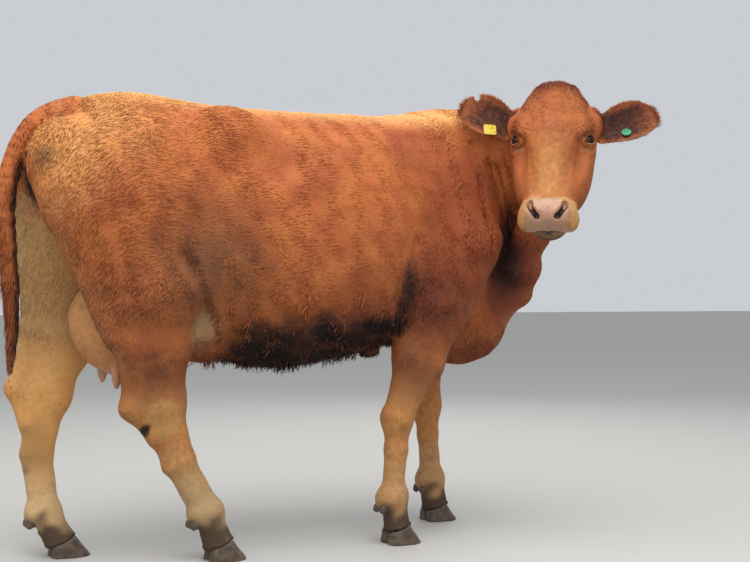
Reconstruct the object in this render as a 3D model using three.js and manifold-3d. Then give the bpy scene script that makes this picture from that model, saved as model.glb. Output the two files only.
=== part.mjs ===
// A life-size model of a polled beef cow, standing in mid stride with its head turned to the right.
// Millimetres. +X is the way the body faces, +Y is the cow's left, +Z is up, and the hooves stand on Z = 0.
// Each stretch of flesh is a smooth blend of named masses, and its solid is a capsule wrapped onto that
// blend. Where two stretches meet, one is cut back from the other by a thin gap.
import * as THREE from "three";
import { mergeVertices } from "three/addons/utils/BufferGeometryUtils.js";
import Module from "manifold-3d";

const wasm = await Module();
wasm.setup();

// ---- Driving dimensions ---------------------------------------------------------------------------
const GAP = 0.5; // left between two neighbouring nodes
const REACH = 620; // furthest that flesh can lie from the axis of its own stretch

const HEAD_ORIGIN = [735, -354, 1472]; // the poll's end of the face line
const HEAD_PITCH = 66; // degrees that the face line falls below level
const HEAD_TURN = 130; // degrees that the face is turned to the right of the body
const HEAD_TILT = 1.5; // degrees that the muzzle swings to the cow's right

const EYE_RADIUS = 21;
const EAR_WIDTH = 148;
const EAR_THICKNESS = 13;

const CLAW_LENGTH = 128; // heel to toe along the sole
const CLAW_WIDTH = 53;
const CLAW_GAP = 7; // between the two claws of a foot
const TOE_HEIGHT = 66; // of the coronet at the front of the foot
const HEEL_HEIGHT = 38; // of the coronet at the back
const TOE_SLOPE = 52; // degrees above level

const TAG_THICKNESS = 2.5;

const BOTH = [-1, 1];
const vec = (p) => new THREE.Vector3(...p);
const mix = THREE.MathUtils.lerp;
const clamp = THREE.MathUtils.clamp;
const radians = THREE.MathUtils.degToRad;
const between = (a, b, t) => a.map((v, i) => mix(v, b[i], t));
const shift = (p, d) => p.map((v, i) => v + d[i]);

// ---- Flesh ----------------------------------------------------------------------------------------
// About how far a point lies from an ellipsoid round the origin, below zero inside it.
function ellipsoidDistance(x, y, z, rx, ry, rz) {
  const near = Math.hypot(x / rx, y / ry, z / rz);
  const slope = Math.hypot(x / (rx * rx), y / (ry * ry), z / (rz * rz));
  return slope < 1e-9 ? -Math.min(rx, ry, rz) : (near * (near - 1)) / slope;
}

// One ellipsoid of flesh. turn is [roll, pitch, yaw] in degrees. blend is how far it melts into others.
class Mass {
  constructor(centre, radii, { turn = [0, 0, 0], blend = 60, frame = null } = {}) {
    this.radii = radii;
    this.blend = blend;
    const place = new THREE.Matrix4().makeRotationFromEuler(
      new THREE.Euler(radians(turn[0]), radians(turn[1]), radians(turn[2]), "ZYX"),
    );
    place.setPosition(vec(centre));
    if (frame) place.premultiply(frame);
    this.toOwn = place.invert();
    this.point = new THREE.Vector3();
  }

  distance(p) {
    const q = this.point.copy(p).applyMatrix4(this.toOwn);
    return ellipsoidDistance(q.x, q.y, q.z, ...this.radii);
  }
}

// A tapered length of flesh between two points. A size is [half depth, half width]: the width lies
// along `across`, and the depth square to it and to the length.
class Limb {
  constructor(from, to, sizeFrom, sizeTo, { across = [0, 1, 0], blend = 40, frame = null } = {}) {
    this.sizes = [sizeFrom, sizeTo];
    this.blend = blend;
    const a = vec(from);
    const b = vec(to);
    this.length = a.distanceTo(b);
    const along = b.clone().sub(a).normalize();
    const side = vec(across);
    side.addScaledVector(along, -side.dot(along)).normalize();
    const depth = new THREE.Vector3().crossVectors(along, side);
    const place = new THREE.Matrix4().makeBasis(depth, along, side).setPosition(a);
    if (frame) place.premultiply(frame);
    this.toOwn = place.invert();
    this.point = new THREE.Vector3();
  }

  distance(p) {
    const q = this.point.copy(p).applyMatrix4(this.toOwn);
    const t = clamp(q.y / this.length, 0, 1);
    const depth = mix(this.sizes[0][0], this.sizes[1][0], t);
    const width = mix(this.sizes[0][1], this.sizes[1][1], t);
    return ellipsoidDistance(q.x, q.y - t * this.length, q.z, depth, Math.min(depth, width), width);
  }
}

// The barrel of the body between named stations along X. Each station has the heights of its top, its
// widest level and its bottom, and its half width there.
class Barrel {
  constructor(stations, { blend = 60, fullness = 2.25, cap = 90 } = {}) {
    this.stations = stations;
    this.blend = blend;
    this.fullness = fullness;
    this.cap = cap;
  }

  // The four sizes at x, on a smooth curve through the stations.
  sizesAt(x) {
    const s = this.stations;
    const last = s.length - 1;
    let i = 0;
    while (i < last - 1 && x > s[i + 1].x) i++;
    const [p0, p1, p2, p3] = [s[Math.max(i - 1, 0)], s[i], s[i + 1], s[Math.min(i + 2, last)]];
    const span = p2.x - p1.x;
    const t = clamp((x - p1.x) / span, 0, 1);
    const [u, v] = [t * t, t * t * t];
    return ["top", "widest", "bottom", "half"].map((key) => {
      const leaving = p1 === p0 ? 0 : ((p2[key] - p0[key]) / (p2.x - p0.x)) * span;
      const arriving = p3 === p2 ? 0 : ((p3[key] - p1[key]) / (p3.x - p1.x)) * span;
      const ends = (2 * v - 3 * u + 1) * p1[key] + (3 * u - 2 * v) * p2[key];
      return ends + (v - 2 * u + t) * leaving + (v - u) * arriving;
    });
  }

  distance(p) {
    const s = this.stations;
    const x = clamp(p.x, s[0].x, s[s.length - 1].x);
    const [top, widest, bottom, half] = this.sizesAt(x);
    const height = p.z > widest ? top - widest : widest - bottom;
    const n = this.fullness;
    const parts = [p.y / half, (p.z - widest) / height, (p.x - x) / this.cap];
    const near = parts.reduce((sum, part) => sum + Math.abs(part) ** n, 0) ** (1 / n);
    return (near - 1) * Math.min(half, height) * 0.9;
  }
}

// Masses that melt into each other. Hollows are masses that press into the rest.
class Flesh {
  constructor(masses, hollows = []) {
    this.masses = masses;
    this.hollows = hollows;
  }

  distance(p) {
    let d = this.masses[0].distance(p);
    for (const m of this.masses.slice(1)) {
      const e = m.distance(p);
      const overlap = Math.max(m.blend - Math.abs(d - e), 0) / m.blend;
      d = Math.min(d, e) - (overlap * overlap * m.blend) / 4;
    }
    for (const m of this.hollows) {
      const e = -m.distance(p);
      const overlap = Math.max(m.blend - Math.abs(d - e), 0) / m.blend;
      d = Math.max(d, e) + (overlap * overlap * m.blend) / 4;
    }
    return d;
  }

  // How far a ray from inside goes before it first comes `clear` outside the flesh.
  exit(from, direction, reach, clear) {
    const p = new THREE.Vector3();
    let gone = 0;
    for (let step = 0; step < 500 && gone < reach; step++) {
      const d = this.distance(p.copy(from).addScaledVector(direction, gone)) - clear;
      if (d > -0.05) break;
      gone += Math.max(-d * 0.7, 0.25);
    }
    return Math.min(gone, reach);
  }
}

// ---- Solids ---------------------------------------------------------------------------------------
function solid(geometry) {
  const bare = geometry.clone();
  for (const name of Object.keys(bare.attributes)) {
    if (name !== "position") bare.deleteAttribute(name);
  }
  const merged = mergeVertices(bare, 1e-3);
  return new wasm.Manifold(
    new wasm.Mesh({
      numProp: 3,
      vertProperties: merged.attributes.position.array,
      triVerts: new Uint32Array(merged.index.array),
    }),
  );
}

// The largest body of a cut solid, without any crumbs that the cut left.
function largest(made) {
  return made.decompose().reduce((a, b) => (a.volume() > b.volume() ? a : b));
}

function geometryOf(made) {
  const { vertProperties, triVerts, numProp } = made.getMesh();
  const position = new Float32Array((vertProperties.length / numProp) * 3);
  for (let i = 0; i < position.length / 3; i++) {
    position.set(vertProperties.subarray(i * numProp, i * numProp + 3), i * 3);
  }
  const geometry = new THREE.BufferGeometry();
  geometry.setAttribute("position", new THREE.BufferAttribute(position, 3));
  geometry.setIndex(new THREE.BufferAttribute(triVerts, 1));
  return geometry;
}

// A capsule bent along a spine, with each vertex pushed out until it rests on the flesh. `clear` makes
// it stand that far outside the flesh.
function wrap(flesh, spine, { across = [0, 1, 0], rings = 16, around = 20, caps = 3, reach = REACH, clear = 0 } = {}) {
  const curve = new THREE.CatmullRomCurve3(spine.map(vec), false, "centripetal");
  const geometry = new THREE.CapsuleGeometry(1, 1, caps, around, rings);
  const { position, normal } = geometry.attributes;
  const frames = new Map();
  const frameAt = (t) => {
    if (!frames.has(t)) {
      const tangent = curve.getTangent(t);
      const side = vec(across);
      side.addScaledVector(tangent, -side.dot(tangent)).normalize();
      frames.set(t, [curve.getPoint(t), side, tangent, new THREE.Vector3().crossVectors(side, tangent)]);
    }
    return frames.get(t);
  };
  const direction = new THREE.Vector3();
  const p = new THREE.Vector3();
  for (let i = 0; i < position.count; i++) {
    const t = Math.round(clamp(position.getY(i) + 0.5, 0, 1) * 1e4) / 1e4;
    const [centre, side, tangent, third] = frameAt(t);
    direction.set(0, 0, 0);
    direction.addScaledVector(side, normal.getX(i));
    direction.addScaledVector(tangent, normal.getY(i));
    direction.addScaledVector(third, normal.getZ(i)).normalize();
    p.copy(centre).addScaledVector(direction, flesh.exit(centre, direction, reach, clear));
    position.setXYZ(i, p.x, p.y, p.z);
  }
  return solid(geometry);
}

// One stretch of flesh, with its solid and a copy that stands a gap outside it, for cutting others back.
class Stretch {
  constructor(flesh, spine, options) {
    this.solid = wrap(flesh, spine, options);
    this.outer = wrap(flesh, spine, { ...options, clear: GAP });
  }
}

// ---- The pose: joint centres of each leg, and where its toe stands -------------------------------
const LEGS = [
  {
    name: "foreleg_right",
    side: -1,
    shoulder: [505, -195, 965],
    elbow: [385, -178, 745],
    knee: [250, -158, 402],
    fetlock: [238, -150, 150],
    toe: 332,
  },
  {
    name: "foreleg_left",
    side: 1,
    shoulder: [545, 195, 965],
    elbow: [512, 178, 745],
    knee: [534, 158, 405],
    fetlock: [548, 150, 150],
    toe: 642,
  },
  {
    name: "hindleg_right",
    side: -1,
    hip: [-600, -148, 1050],
    stifle: [-545, -198, 810],
    ham: [-618, -172, 700],
    gaskin: [-552, -172, 640],
    hock: [-532, -152, 478],
    heel: [-620, -150, 468],
    shin: [-472, -140, 301],
    fetlock: [-380, -128, 148],
    toe: -258,
  },
  {
    name: "hindleg_left",
    side: 1,
    hip: [-640, 148, 1050],
    stifle: [-655, 196, 810],
    ham: [-775, 170, 715],
    gaskin: [-757, 172, 650],
    hock: [-795, 156, 490],
    heel: [-888, 154, 515],
    shin: [-826, 150, 316],
    fetlock: [-803, 142, 142],
    toe: -664,
  },
];

// The middle of the coronet, where a leg meets its two claws.
const footOf = (leg) => [leg.toe - 0.57 * CLAW_LENGTH, leg.fetlock[1], (TOE_HEIGHT + HEEL_HEIGHT) / 2];

const PASTERN = [40, 40];
const CORONET = [47, 50];

function pastern(leg) {
  return [
    new Mass(leg.fetlock, [50, 44, 44], { blend: 25 }),
    new Limb(leg.fetlock, shift(footOf(leg), [0, 0, -30]), PASTERN, CORONET, { blend: 25 }),
    new Mass(shift(leg.fetlock, [-36, 0, -8]), [22, 36, 28], { blend: 25 }),
  ];
}

// The shoulder blade and upper arm, which lie in the wall of the trunk.
const shoulderMasses = ({ side, shoulder, elbow }) => [
  new Limb([395, side * 120, 1300], shoulder, [125, 52], [118, 66], { blend: 90 }),
  new Limb(shift(shoulder, [-30, 0, -15]), elbow, [118, 66], [98, 58], { blend: 60 }),
  new Mass(shift(elbow, [-75, side * 4, 25]), [48, 36, 60], { turn: [0, 20, 0], blend: 50 }),
];

const foreMasses = (leg) => {
  const { elbow, knee, fetlock } = leg;
  const middle = between(elbow, knee, 0.48);
  const low = between(elbow, knee, 0.83);
  const cannon = between(knee, fetlock, 0.4);
  return [
    new Limb(elbow, middle, [98, 60], [86, 54], { blend: 45 }),
    new Limb(middle, low, [85, 53], [60, 44], { blend: 45 }),
    new Mass(knee, [55, 47, 58], { blend: 35 }),
    new Limb(knee, cannon, [50, 42], [39, 33], { blend: 25 }),
    new Limb(cannon, fetlock, [38, 32], [40, 35], { blend: 20 }),
    ...pastern(leg),
  ];
};

// The thigh and the hamstring, which lie in the wall of the trunk.
const thighMasses = ({ side, hip, stifle, ham }) => [
  new Limb(hip, stifle, [215, 112], [125, 74], { blend: 90 }),
  new Limb([-806, side * 118, 1165], ham, [106, 85], [98, 58], { blend: 90 }),
];

const hindMasses = (leg) => {
  const { stifle, gaskin, hock, heel, shin, fetlock } = leg;
  return [
    new Limb(stifle, gaskin, [118, 70], [100, 56], { blend: 50 }),
    new Limb(gaskin, hock, [98, 56], [72, 45], { blend: 50 }),
    new Limb(shift(gaskin, [-72, 0, 20]), heel, [34, 30], [27, 26], { blend: 45 }),
    new Limb(heel, between(heel, shin, 0.52), [27, 26], [30, 32], { blend: 40 }),
    new Mass(hock, [72, 50, 66], { blend: 35 }),
    new Limb(hock, shin, [66, 44], [50, 36], { blend: 30 }),
    new Limb(shin, fetlock, [49, 35], [45, 37], { blend: 20 }),
    ...pastern(leg),
  ];
};

const isFore = (leg) => Boolean(leg.elbow);
const rootMasses = LEGS.flatMap((leg) => (isFore(leg) ? shoulderMasses(leg) : thighMasses(leg)));


// ---- The trunk, neck and udder --------------------------------------------------------------------
const STATIONS = [
  { name: "pins", x: -785, top: 1322, widest: 1190, bottom: 1060, half: 120 },
  { name: "tail head", x: -720, top: 1383, widest: 1170, bottom: 960, half: 190 },
  { name: "croup", x: -590, top: 1406, widest: 1130, bottom: 800, half: 238 },
  { name: "hooks", x: -340, top: 1385, widest: 1080, bottom: 592, half: 288 },
  { name: "paunch", x: -110, top: 1384, widest: 960, bottom: 550, half: 345 },
  { name: "ribs", x: 130, top: 1390, widest: 950, bottom: 588, half: 335 },
  { name: "girth", x: 300, top: 1398, widest: 960, bottom: 616, half: 272 },
  { name: "withers", x: 430, top: 1414, widest: 960, bottom: 610, half: 225 },
  { name: "brisket", x: 570, top: 1398, widest: 930, bottom: 610, half: 180 },
  { name: "breast", x: 660, top: 1300, widest: 900, bottom: 650, half: 125 },
];

const trunkMasses = [
  new Barrel(STATIONS),
  ...rootMasses,
  ...BOTH.flatMap((side) => [
    new Mass([-345, side * 205, 1262], [115, 74, 92], { blend: 60 }), // hook
    new Mass([-810, side * 108, 1222], [70, 58, 62], { blend: 60 }), // pin
    new Mass([-610, side * 150, 1110], [225, 118, 225], { blend: 80 }), // rump
  ]),
  new Mass([580, 0, 714], [162, 116, 146], { blend: 80 }), // brisket
  new Mass([-405, 0, 682], [125, 150, 88], { blend: 60 }), // groin
];
const flankHollows = BOTH.map(
  (side) => new Mass([-210, side * 352, 1225], [110, 62, 90], { turn: [0, -30, 0], blend: 60 }),
);
const TRUNK_SPINE = [
  [-750, 0, 1180],
  [-300, 0, 1060],
  [150, 0, 1000],
  [600, 0, 930],
];
const trunk = new Stretch(new Flesh(trunkMasses, flankHollows), TRUNK_SPINE, { rings: 22, around: 24, caps: 4 });

// The thighs are cut from the trunk on one plane, which rises from the flank to under the pins, and from
// each other on the middle plane.
const FLANK_FOLD = [-430, 0, 650];
const THIGH_RISE = radians(40);
const thighNormal = [Math.sin(THIGH_RISE), 0, Math.cos(THIGH_RISE)];
const thighOffset = thighNormal[0] * FLANK_FOLD[0] + thighNormal[2] * FLANK_FOLD[2];

function legStretch(leg) {
  const below = [between(leg.knee ?? leg.hock, leg.fetlock, 0.5), leg.fetlock, footOf(leg)];
  if (isFore(leg)) {
    const spine = [leg.elbow, between(leg.elbow, leg.knee, 0.5), leg.knee, ...below];
    return new Stretch(new Flesh(foreMasses(leg)), spine, { rings: 13, around: 12, caps: 1 });
  }
  const spine = [shift(leg.hip, [0, 0, -40]), between(leg.stifle, leg.ham, 0.5), leg.gaskin, leg.hock, ...below];
  const flesh = new Flesh([...trunkMasses, ...hindMasses(leg)], flankHollows);
  return new Stretch(flesh, spine, { rings: 18, around: 12, caps: 1, reach: 340 });
}

const NECK = [
  [400, 0, 1090],
  [560, -30, 1150],
  [690, -145, 1235],
  [740, -285, 1325],
];
const DEWLAP = [
  [702, -15, 758],
  [742, -78, 815],
  [732, -150, 880],
  [722, -230, 1000],
  [716, -290, 1160],
];
const neckFlesh = new Flesh([
  new Limb(NECK[0], NECK[1], [300, 165], [268, 132], { blend: 90 }),
  new Limb(NECK[1], NECK[2], [268, 132], [200, 108], { blend: 90 }),
  new Limb(NECK[2], NECK[3], [195, 106], [135, 92], { blend: 90 }),
]);
const neckStretch = new Stretch(neckFlesh, NECK, { rings: 9, around: 18, caps: 2 });
const dewlapFlesh = new Flesh([
  new Limb(DEWLAP[0], DEWLAP[1], [74, 48], [64, 44], { blend: 70 }),
  new Limb(DEWLAP[1], DEWLAP[2], [64, 44], [57, 42], { blend: 70 }),
  new Limb(DEWLAP[2], DEWLAP[3], [57, 42], [50, 42], { blend: 70 }),
  new Limb(DEWLAP[3], DEWLAP[4], [50, 42], [60, 48], { blend: 70 }),
]);
const dewlapStretch = new Stretch(dewlapFlesh, DEWLAP, { rings: 6, around: 10, caps: 2 });

const udderFlesh = new Flesh([new Mass([-582, 0, 705], [185, 108, 160], { turn: [0, 16, 0] })]);
const UDDER_SPINE = [
  [-630, 0, 712],
  [-535, 0, 695],
];
const udderStretch = new Stretch(udderFlesh, UDDER_SPINE, { rings: 3, around: 14, caps: 3 });
const TEAT_TIPS = [
  [-634, -52, 516],
  [-650, 52, 530],
  [-520, -58, 508],
  [-520, 58, 508],
];

const TAIL = [
  [-745, 0, 1342],
  [-802, 0, 1324],
  [-850, 0, 1298],
  [-892, 0, 1254],
  [-924, 0, 1190],
  [-941, 0, 1120],
  [-946, 0, 1040],
  [-930, 0, 830],
  [-922, 0, 725],
  [-922, 0, 640],
  [-930, 0, 590],
];
const TAIL_THICKNESS = [44, 42, 37, 32, 29, 28, 27, 25, 27, 22, 12];
const TAIL_PARTS = 26; // the tail is cut this finely along its curve
const tailCurve = new THREE.CatmullRomCurve3(TAIL.map(vec), false, "catmullrom", 0.5);
const tailCuts = Array.from({ length: TAIL_PARTS + 1 }, (_, i) => {
  const at = (i / TAIL_PARTS) * (TAIL.length - 1);
  const joint = Math.min(Math.floor(at), TAIL.length - 2);
  const thick = mix(TAIL_THICKNESS[joint], TAIL_THICKNESS[joint + 1], at - joint);
  return { place: tailCurve.getPoint(i / TAIL_PARTS).toArray(), size: [thick, thick] };
});
const tailFlesh = new Flesh(
  tailCuts.slice(1).map((cut, i) => new Limb(tailCuts[i].place, cut.place, tailCuts[i].size, cut.size, { blend: 8 })),
);
const tailStretch = new Stretch(tailFlesh, TAIL, { rings: 17, around: 8, caps: 2, reach: 60 });

// ---- The head, in its own frame: X down the face from the poll, Y to its left, Z out of the forehead.
const headFrame = (() => {
  const [pitch, turn, tilt] = [HEAD_PITCH, HEAD_TURN, HEAD_TILT].map(radians);
  const ahead = new THREE.Vector3(Math.cos(turn), -Math.sin(turn), 0);
  const up = new THREE.Vector3(0, 0, 1);
  const face = ahead.clone().multiplyScalar(Math.cos(pitch)).addScaledVector(up, -Math.sin(pitch));
  const brow = ahead.clone().multiplyScalar(Math.sin(pitch)).addScaledVector(up, Math.cos(pitch));
  face.applyAxisAngle(brow, -tilt);
  const left = new THREE.Vector3().crossVectors(brow, face);
  return new THREE.Matrix4().makeBasis(face, left, brow).setPosition(vec(HEAD_ORIGIN));
})();
const inHead = { frame: headFrame };
const headPoint = (p) => vec(p).applyMatrix4(headFrame).toArray();
const headDirection = (p) => vec(p).transformDirection(headFrame).toArray();

const headMasses = [
  new Mass([104, 0, -8], [100, 114, 78], { ...inHead, blend: 40 }), // cranium
  new Mass([32, 0, 21], [33, 72, 41], { ...inHead, blend: 30 }), // poll
  new Mass([165, 0, 28], [138, 108, 46], { ...inHead, blend: 40 }), // forehead
  new Limb([205, 0, 26], [415, 0, 8], [46, 70], [46, 60], { ...inHead, blend: 40 }), // nose bridge
  ...BOTH.flatMap((side) => [
    new Mass([184, side * 98, 16], [52, 36, 40], { ...inHead, blend: 30 }), // brow
    new Limb([235, side * 85, -22], [385, side * 60, -18], [46, 42], [38, 36], { ...inHead, blend: 50 }),
    new Mass([228, side * 82, -72], [115, 42, 80], { ...inHead, blend: 50 }), // jaw muscle
    new Mass([338, side * 72, -52], [82, 38, 46], { ...inHead, blend: 50 }), // cheek
    new Limb([240, side * 48, -112], [425, side * 28, -62], [36, 30], [30, 28], { ...inHead, blend: 45 }),
    new Mass([470, side * 50, 4], [44, 41, 46], { ...inHead, blend: 35 }), // nostril's wing
    new Mass([491, side * 66, -11], [29, 27, 27], { ...inHead, blend: 24 }), // corner of the upper lip
    new Mass([138, side * 112, -6], [58, 50, 30], { ...inHead, blend: 26 }), // root of the ear
  ]),
  new Mass([470, 0, 2], [46, 72, 50], { ...inHead, blend: 30 }), // muzzle
  new Mass([480, 0, -53], [50, 58, 33], { ...inHead, blend: 22 }), // chin
];
const headHollows = BOTH.flatMap((side) => [
  new Mass([218, side * 130, 40], [24, 14, 22], { ...inHead, blend: 10 }), // opening of the eye
  new Mass([285, side * 98, 38], [60, 16, 30], { ...inHead, blend: 30 }), // below the eye
]);
const headFlesh = new Flesh(headMasses, headHollows);
const HEAD_SPINE = [
  [50, 0, 0],
  [200, 0, -22],
  [330, 0, -16],
  [430, 0, -12],
].map(headPoint);
const headAcross = headDirection([0, 1, 0]);
const headStretch = new Stretch(headFlesh, HEAD_SPINE, { across: headAcross, rings: 13, around: 22, caps: 4 });

const EYE = [216, 109, 16];

function ball(centre, radii, [across, around] = [12, 8]) {
  const geometry = new THREE.SphereGeometry(1, across, around);
  geometry.scale(...radii);
  return geometry.translate(...centre).applyMatrix4(headFrame);
}

// An ear is a ball pressed into a cupped leaf. Its root sits in the side of the head.
const EARS = [
  { name: "ear_right", root: [156, -116, -12], tip: [80, -316, 28], length: 210, notched: true },
  { name: "ear_left", root: [168, 118, -12], tip: [86, 332, -36], length: 226, notched: false },
];

// The ear's frame: X across the leaf, Y along it, Z out of its hollow side. X points to the poll on the
// right ear and to the muzzle on the left.
function earFrame({ root, tip }) {
  const along = vec(tip).sub(vec(root)).normalize();
  const hollow = new THREE.Vector3(0.12, 0, 1);
  hollow.addScaledVector(along, -hollow.dot(along)).normalize();
  const across = new THREE.Vector3().crossVectors(along, hollow);
  return new THREE.Matrix4().makeBasis(across, along, hollow).setPosition(vec(root)).premultiply(headFrame);
}


// How far the leaf curls forward at a distance from its middle line.
const earCup = (across) => 34 * (across / (EAR_WIDTH / 2)) ** 2;

function earLeaf(ear, clear) {
  const geometry = new THREE.SphereGeometry(1, 12, 9);
  const { position } = geometry.attributes;
  for (let i = 0; i < position.count; i++) {
    const [x, y, z] = [position.getX(i), position.getY(i), position.getZ(i)];
    const t = (y + 1) / 2;
    const across = x * ((EAR_WIDTH / 2) * (0.9 + 0.16 * t + 0.9 * (1 - t) ** 12) + clear);
    const cup = earCup(across) - 16 * (1 - t) ** 2;
    const thick = z * (EAR_THICKNESS / 2 + 9 * Math.max(1 - t * 2.2, 0) + clear);
    position.setXYZ(i, across, t * ear.length + y * clear, thick + cup);
  }
  return solid(geometry.applyMatrix4(earFrame(ear)));
}

// ---- Feet -----------------------------------------------------------------------------------------
// The outline of one claw's sole, from the heel to the toe. `inner` is the side that faces its fellow.
function soleOutline(inner) {
  const outline = new THREE.Shape();
  const [near, far] = [0, -inner * CLAW_WIDTH];
  outline.moveTo(10, near);
  outline.lineTo(CLAW_LENGTH * 0.72, near);
  outline.quadraticCurveTo(CLAW_LENGTH * 0.95, near, CLAW_LENGTH, far * 0.3);
  outline.quadraticCurveTo(CLAW_LENGTH * 0.98, far * 0.7, CLAW_LENGTH * 0.7, far * 0.98);
  outline.quadraticCurveTo(CLAW_LENGTH * 0.35, far * 1.06, 14, far * 0.86);
  outline.quadraticCurveTo(-4, far * 0.5, 10, near);
  return outline;
}

// A claw stands on its flat sole. Its toe slopes back, and its top follows the coronet.
function claw(inner) {
  const geometry = new THREE.ExtrudeGeometry(soleOutline(inner), {
    depth: 1,
    steps: 2,
    bevelEnabled: false,
    curveSegments: 2,
  });
  const { position } = geometry.attributes;
  for (let i = 0; i < position.count; i++) {
    const [x, y, level] = [position.getX(i), position.getY(i), position.getZ(i)];
    const forward = x / CLAW_LENGTH;
    const z = level * mix(HEEL_HEIGHT, TOE_HEIGHT, forward);
    const back = (z / Math.tan(radians(TOE_SLOPE))) * forward ** 1.4;
    const side = y * (1 - 0.08 * level);
    position.setXYZ(i, x - back + 6 * (1 - forward) * level, side, z);
  }
  return solid(geometry);
}

// Half of the coronet's plane, as a block that ends flat against the top of the claws.
function coronetBlock(leg, clear) {
  const slope = Math.atan2(TOE_HEIGHT - HEEL_HEIGHT, CLAW_LENGTH - TOE_HEIGHT / Math.tan(radians(TOE_SLOPE)));
  const block = new THREE.BoxGeometry(400, 300, 300).translate(0, 0, -150 + clear).rotateY(-slope);
  return solid(block.translate(leg.toe - CLAW_LENGTH, leg.fetlock[1], HEEL_HEIGHT));
}

// A dewclaw is a small blunt horn behind the fetlock.
function dewclaw(leg, side, clear) {
  const horn = new THREE.SphereGeometry(1, 6, 4).scale(17 + clear, 13 + clear, 22 + clear).rotateY(radians(35));
  return solid(horn.translate(leg.fetlock[0] - 44, leg.fetlock[1] + side * 21, leg.fetlock[2] - 34));
}

// ---- Ear tags: a plate on the hollow side of the leaf, and a stud through it to a button behind -----
const TAGS = [
  { name: "ear_tag_right", ear: EARS[0], side: 44, place: [-38, 82], color: 0xd9c21c },
  { name: "ear_tag_left", ear: EARS[1], side: 32, place: [33, 103], color: 0x1f7a50 },
];
const TAG_LIFT = EAR_THICKNESS / 2 + 4.5; // of the plate above the middle of the leaf

// The tag's frame lies in the leaf where its stud goes through.
function tagFrame({ ear, place: [across, along] }) {
  const slope = (earCup(across + 1) - earCup(across - 1)) / 2;
  const frame = new THREE.Matrix4().makeRotationY(-Math.atan(slope));
  return frame.setPosition(across, along, earCup(across) - 5).premultiply(earFrame(ear));
}

function tagStud(tag, clear) {
  const stud = new THREE.CylinderGeometry(3 + clear, 3 + clear, 2 * TAG_LIFT + 2, 8).rotateX(Math.PI / 2);
  return solid(stud.applyMatrix4(tagFrame(tag)));
}

function tagSolid(tag) {
  const half = tag.side / 2;
  const plate = new THREE.CylinderGeometry(half * 1.25, half * 1.25, TAG_THICKNESS, 8).rotateX(Math.PI / 2);
  plate.rotateZ(Math.PI / 8).translate(Math.sign(tag.place[0]) * half * 0.4, 0, TAG_LIFT + TAG_THICKNESS / 2);
  const button = new THREE.CylinderGeometry(12, 14, 3, 10).rotateX(Math.PI / 2).translate(0, 0, -TAG_LIFT - 1.5);
  const parts = [plate, button].map((part) => solid(part.applyMatrix4(tagFrame(tag))));
  return parts.reduce((made, part) => made.add(part), tagStud(tag, 0));
}

// ---- The model ------------------------------------------------------------------------------------
const cow = new THREE.Group();
cow.name = "cow";

const surface = (color, roughness) => new THREE.MeshStandardMaterial({ color, roughness, metalness: 0 });
const COAT = surface(0xb06a34, 0.85);
const LEG_COAT = surface(0xb58a5c, 0.85);
const TAIL_COAT = surface(0x8e4e28, 0.85);
const BARE_SKIN = surface(0xb58068, 0.6);
const HORN = surface(0x4b4038, 0.5);
const EYE_DARK = surface(0x17110e, 0.1);

function addNode(name, made, material) {
  const mesh = new THREE.Mesh(geometryOf(largest(made)), material);
  mesh.name = name;
  cow.add(mesh);
}

function addTrunk() {
  const made = trunk.solid.trimByPlane(thighNormal, thighOffset + GAP);
  addNode("trunk", made.subtract(udderStretch.outer).subtract(tailStretch.outer), COAT);
}

function addNeck() {
  const neck = neckStretch.solid.subtract(trunk.outer).subtract(headStretch.outer);
  addNode("neck", EARS.reduce((made, ear) => made.subtract(earLeaf(ear, GAP)), neck), COAT);
  const others = [trunk, neckStretch, headStretch];
  addNode("dewlap", others.reduce((made, other) => made.subtract(other.outer), dewlapStretch.solid), COAT);
}

function addHead() {
  let made = headStretch.solid;
  for (const side of BOTH) {
    const centre = [EYE[0], side * EYE[1], EYE[2]];
    const socket = EYE_RADIUS + GAP;
    made = made.subtract(solid(ball(centre, [socket, socket, socket])));
    made = made.subtract(solid(ball([490, side * 46, 38], [20, 10, 16], [10, 6])));
    addNode(side < 0 ? "eye_right" : "eye_left", solid(ball(centre, [EYE_RADIUS, EYE_RADIUS, EYE_RADIUS])), EYE_DARK);
  }
  for (const ear of EARS) made = made.subtract(earLeaf(ear, GAP));
  addNode("head", made, COAT);
}

function addEars() {
  for (const ear of EARS) {
    let made = earLeaf(ear, 0);
    if (ear.notched) {
      const notch = new THREE.CylinderGeometry(10, 10, 120, 10).rotateX(Math.PI / 2);
      made = made.subtract(solid(notch.translate(45, 168, 0).applyMatrix4(earFrame(ear))));
    }
    const own = TAGS.find((tag) => tag.ear === ear);
    made = made.subtract(tagStud(own, GAP));
    addNode(ear.name, made, COAT);
  }
  for (const tag of TAGS) addNode(tag.name, tagSolid(tag), surface(tag.color, 0.45));
}

function addUdder() {
  let made = udderStretch.solid;
  for (const tip of TEAT_TIPS) {
    const teat = new THREE.CapsuleGeometry(13, 60, 2, 8).rotateX(Math.PI / 2);
    made = made.add(solid(teat.translate(tip[0], tip[1], tip[2] + 43)));
  }
  addNode("udder", made, BARE_SKIN);
}

function addTail() {
  const split = 800;
  const made = tailStretch.solid;
  addNode("tail", made.trimByPlane([0, 0, 1], split + GAP), COAT);
  addNode("tail_switch", made.trimByPlane([0, 0, -1], -split), TAIL_COAT);
}

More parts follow.
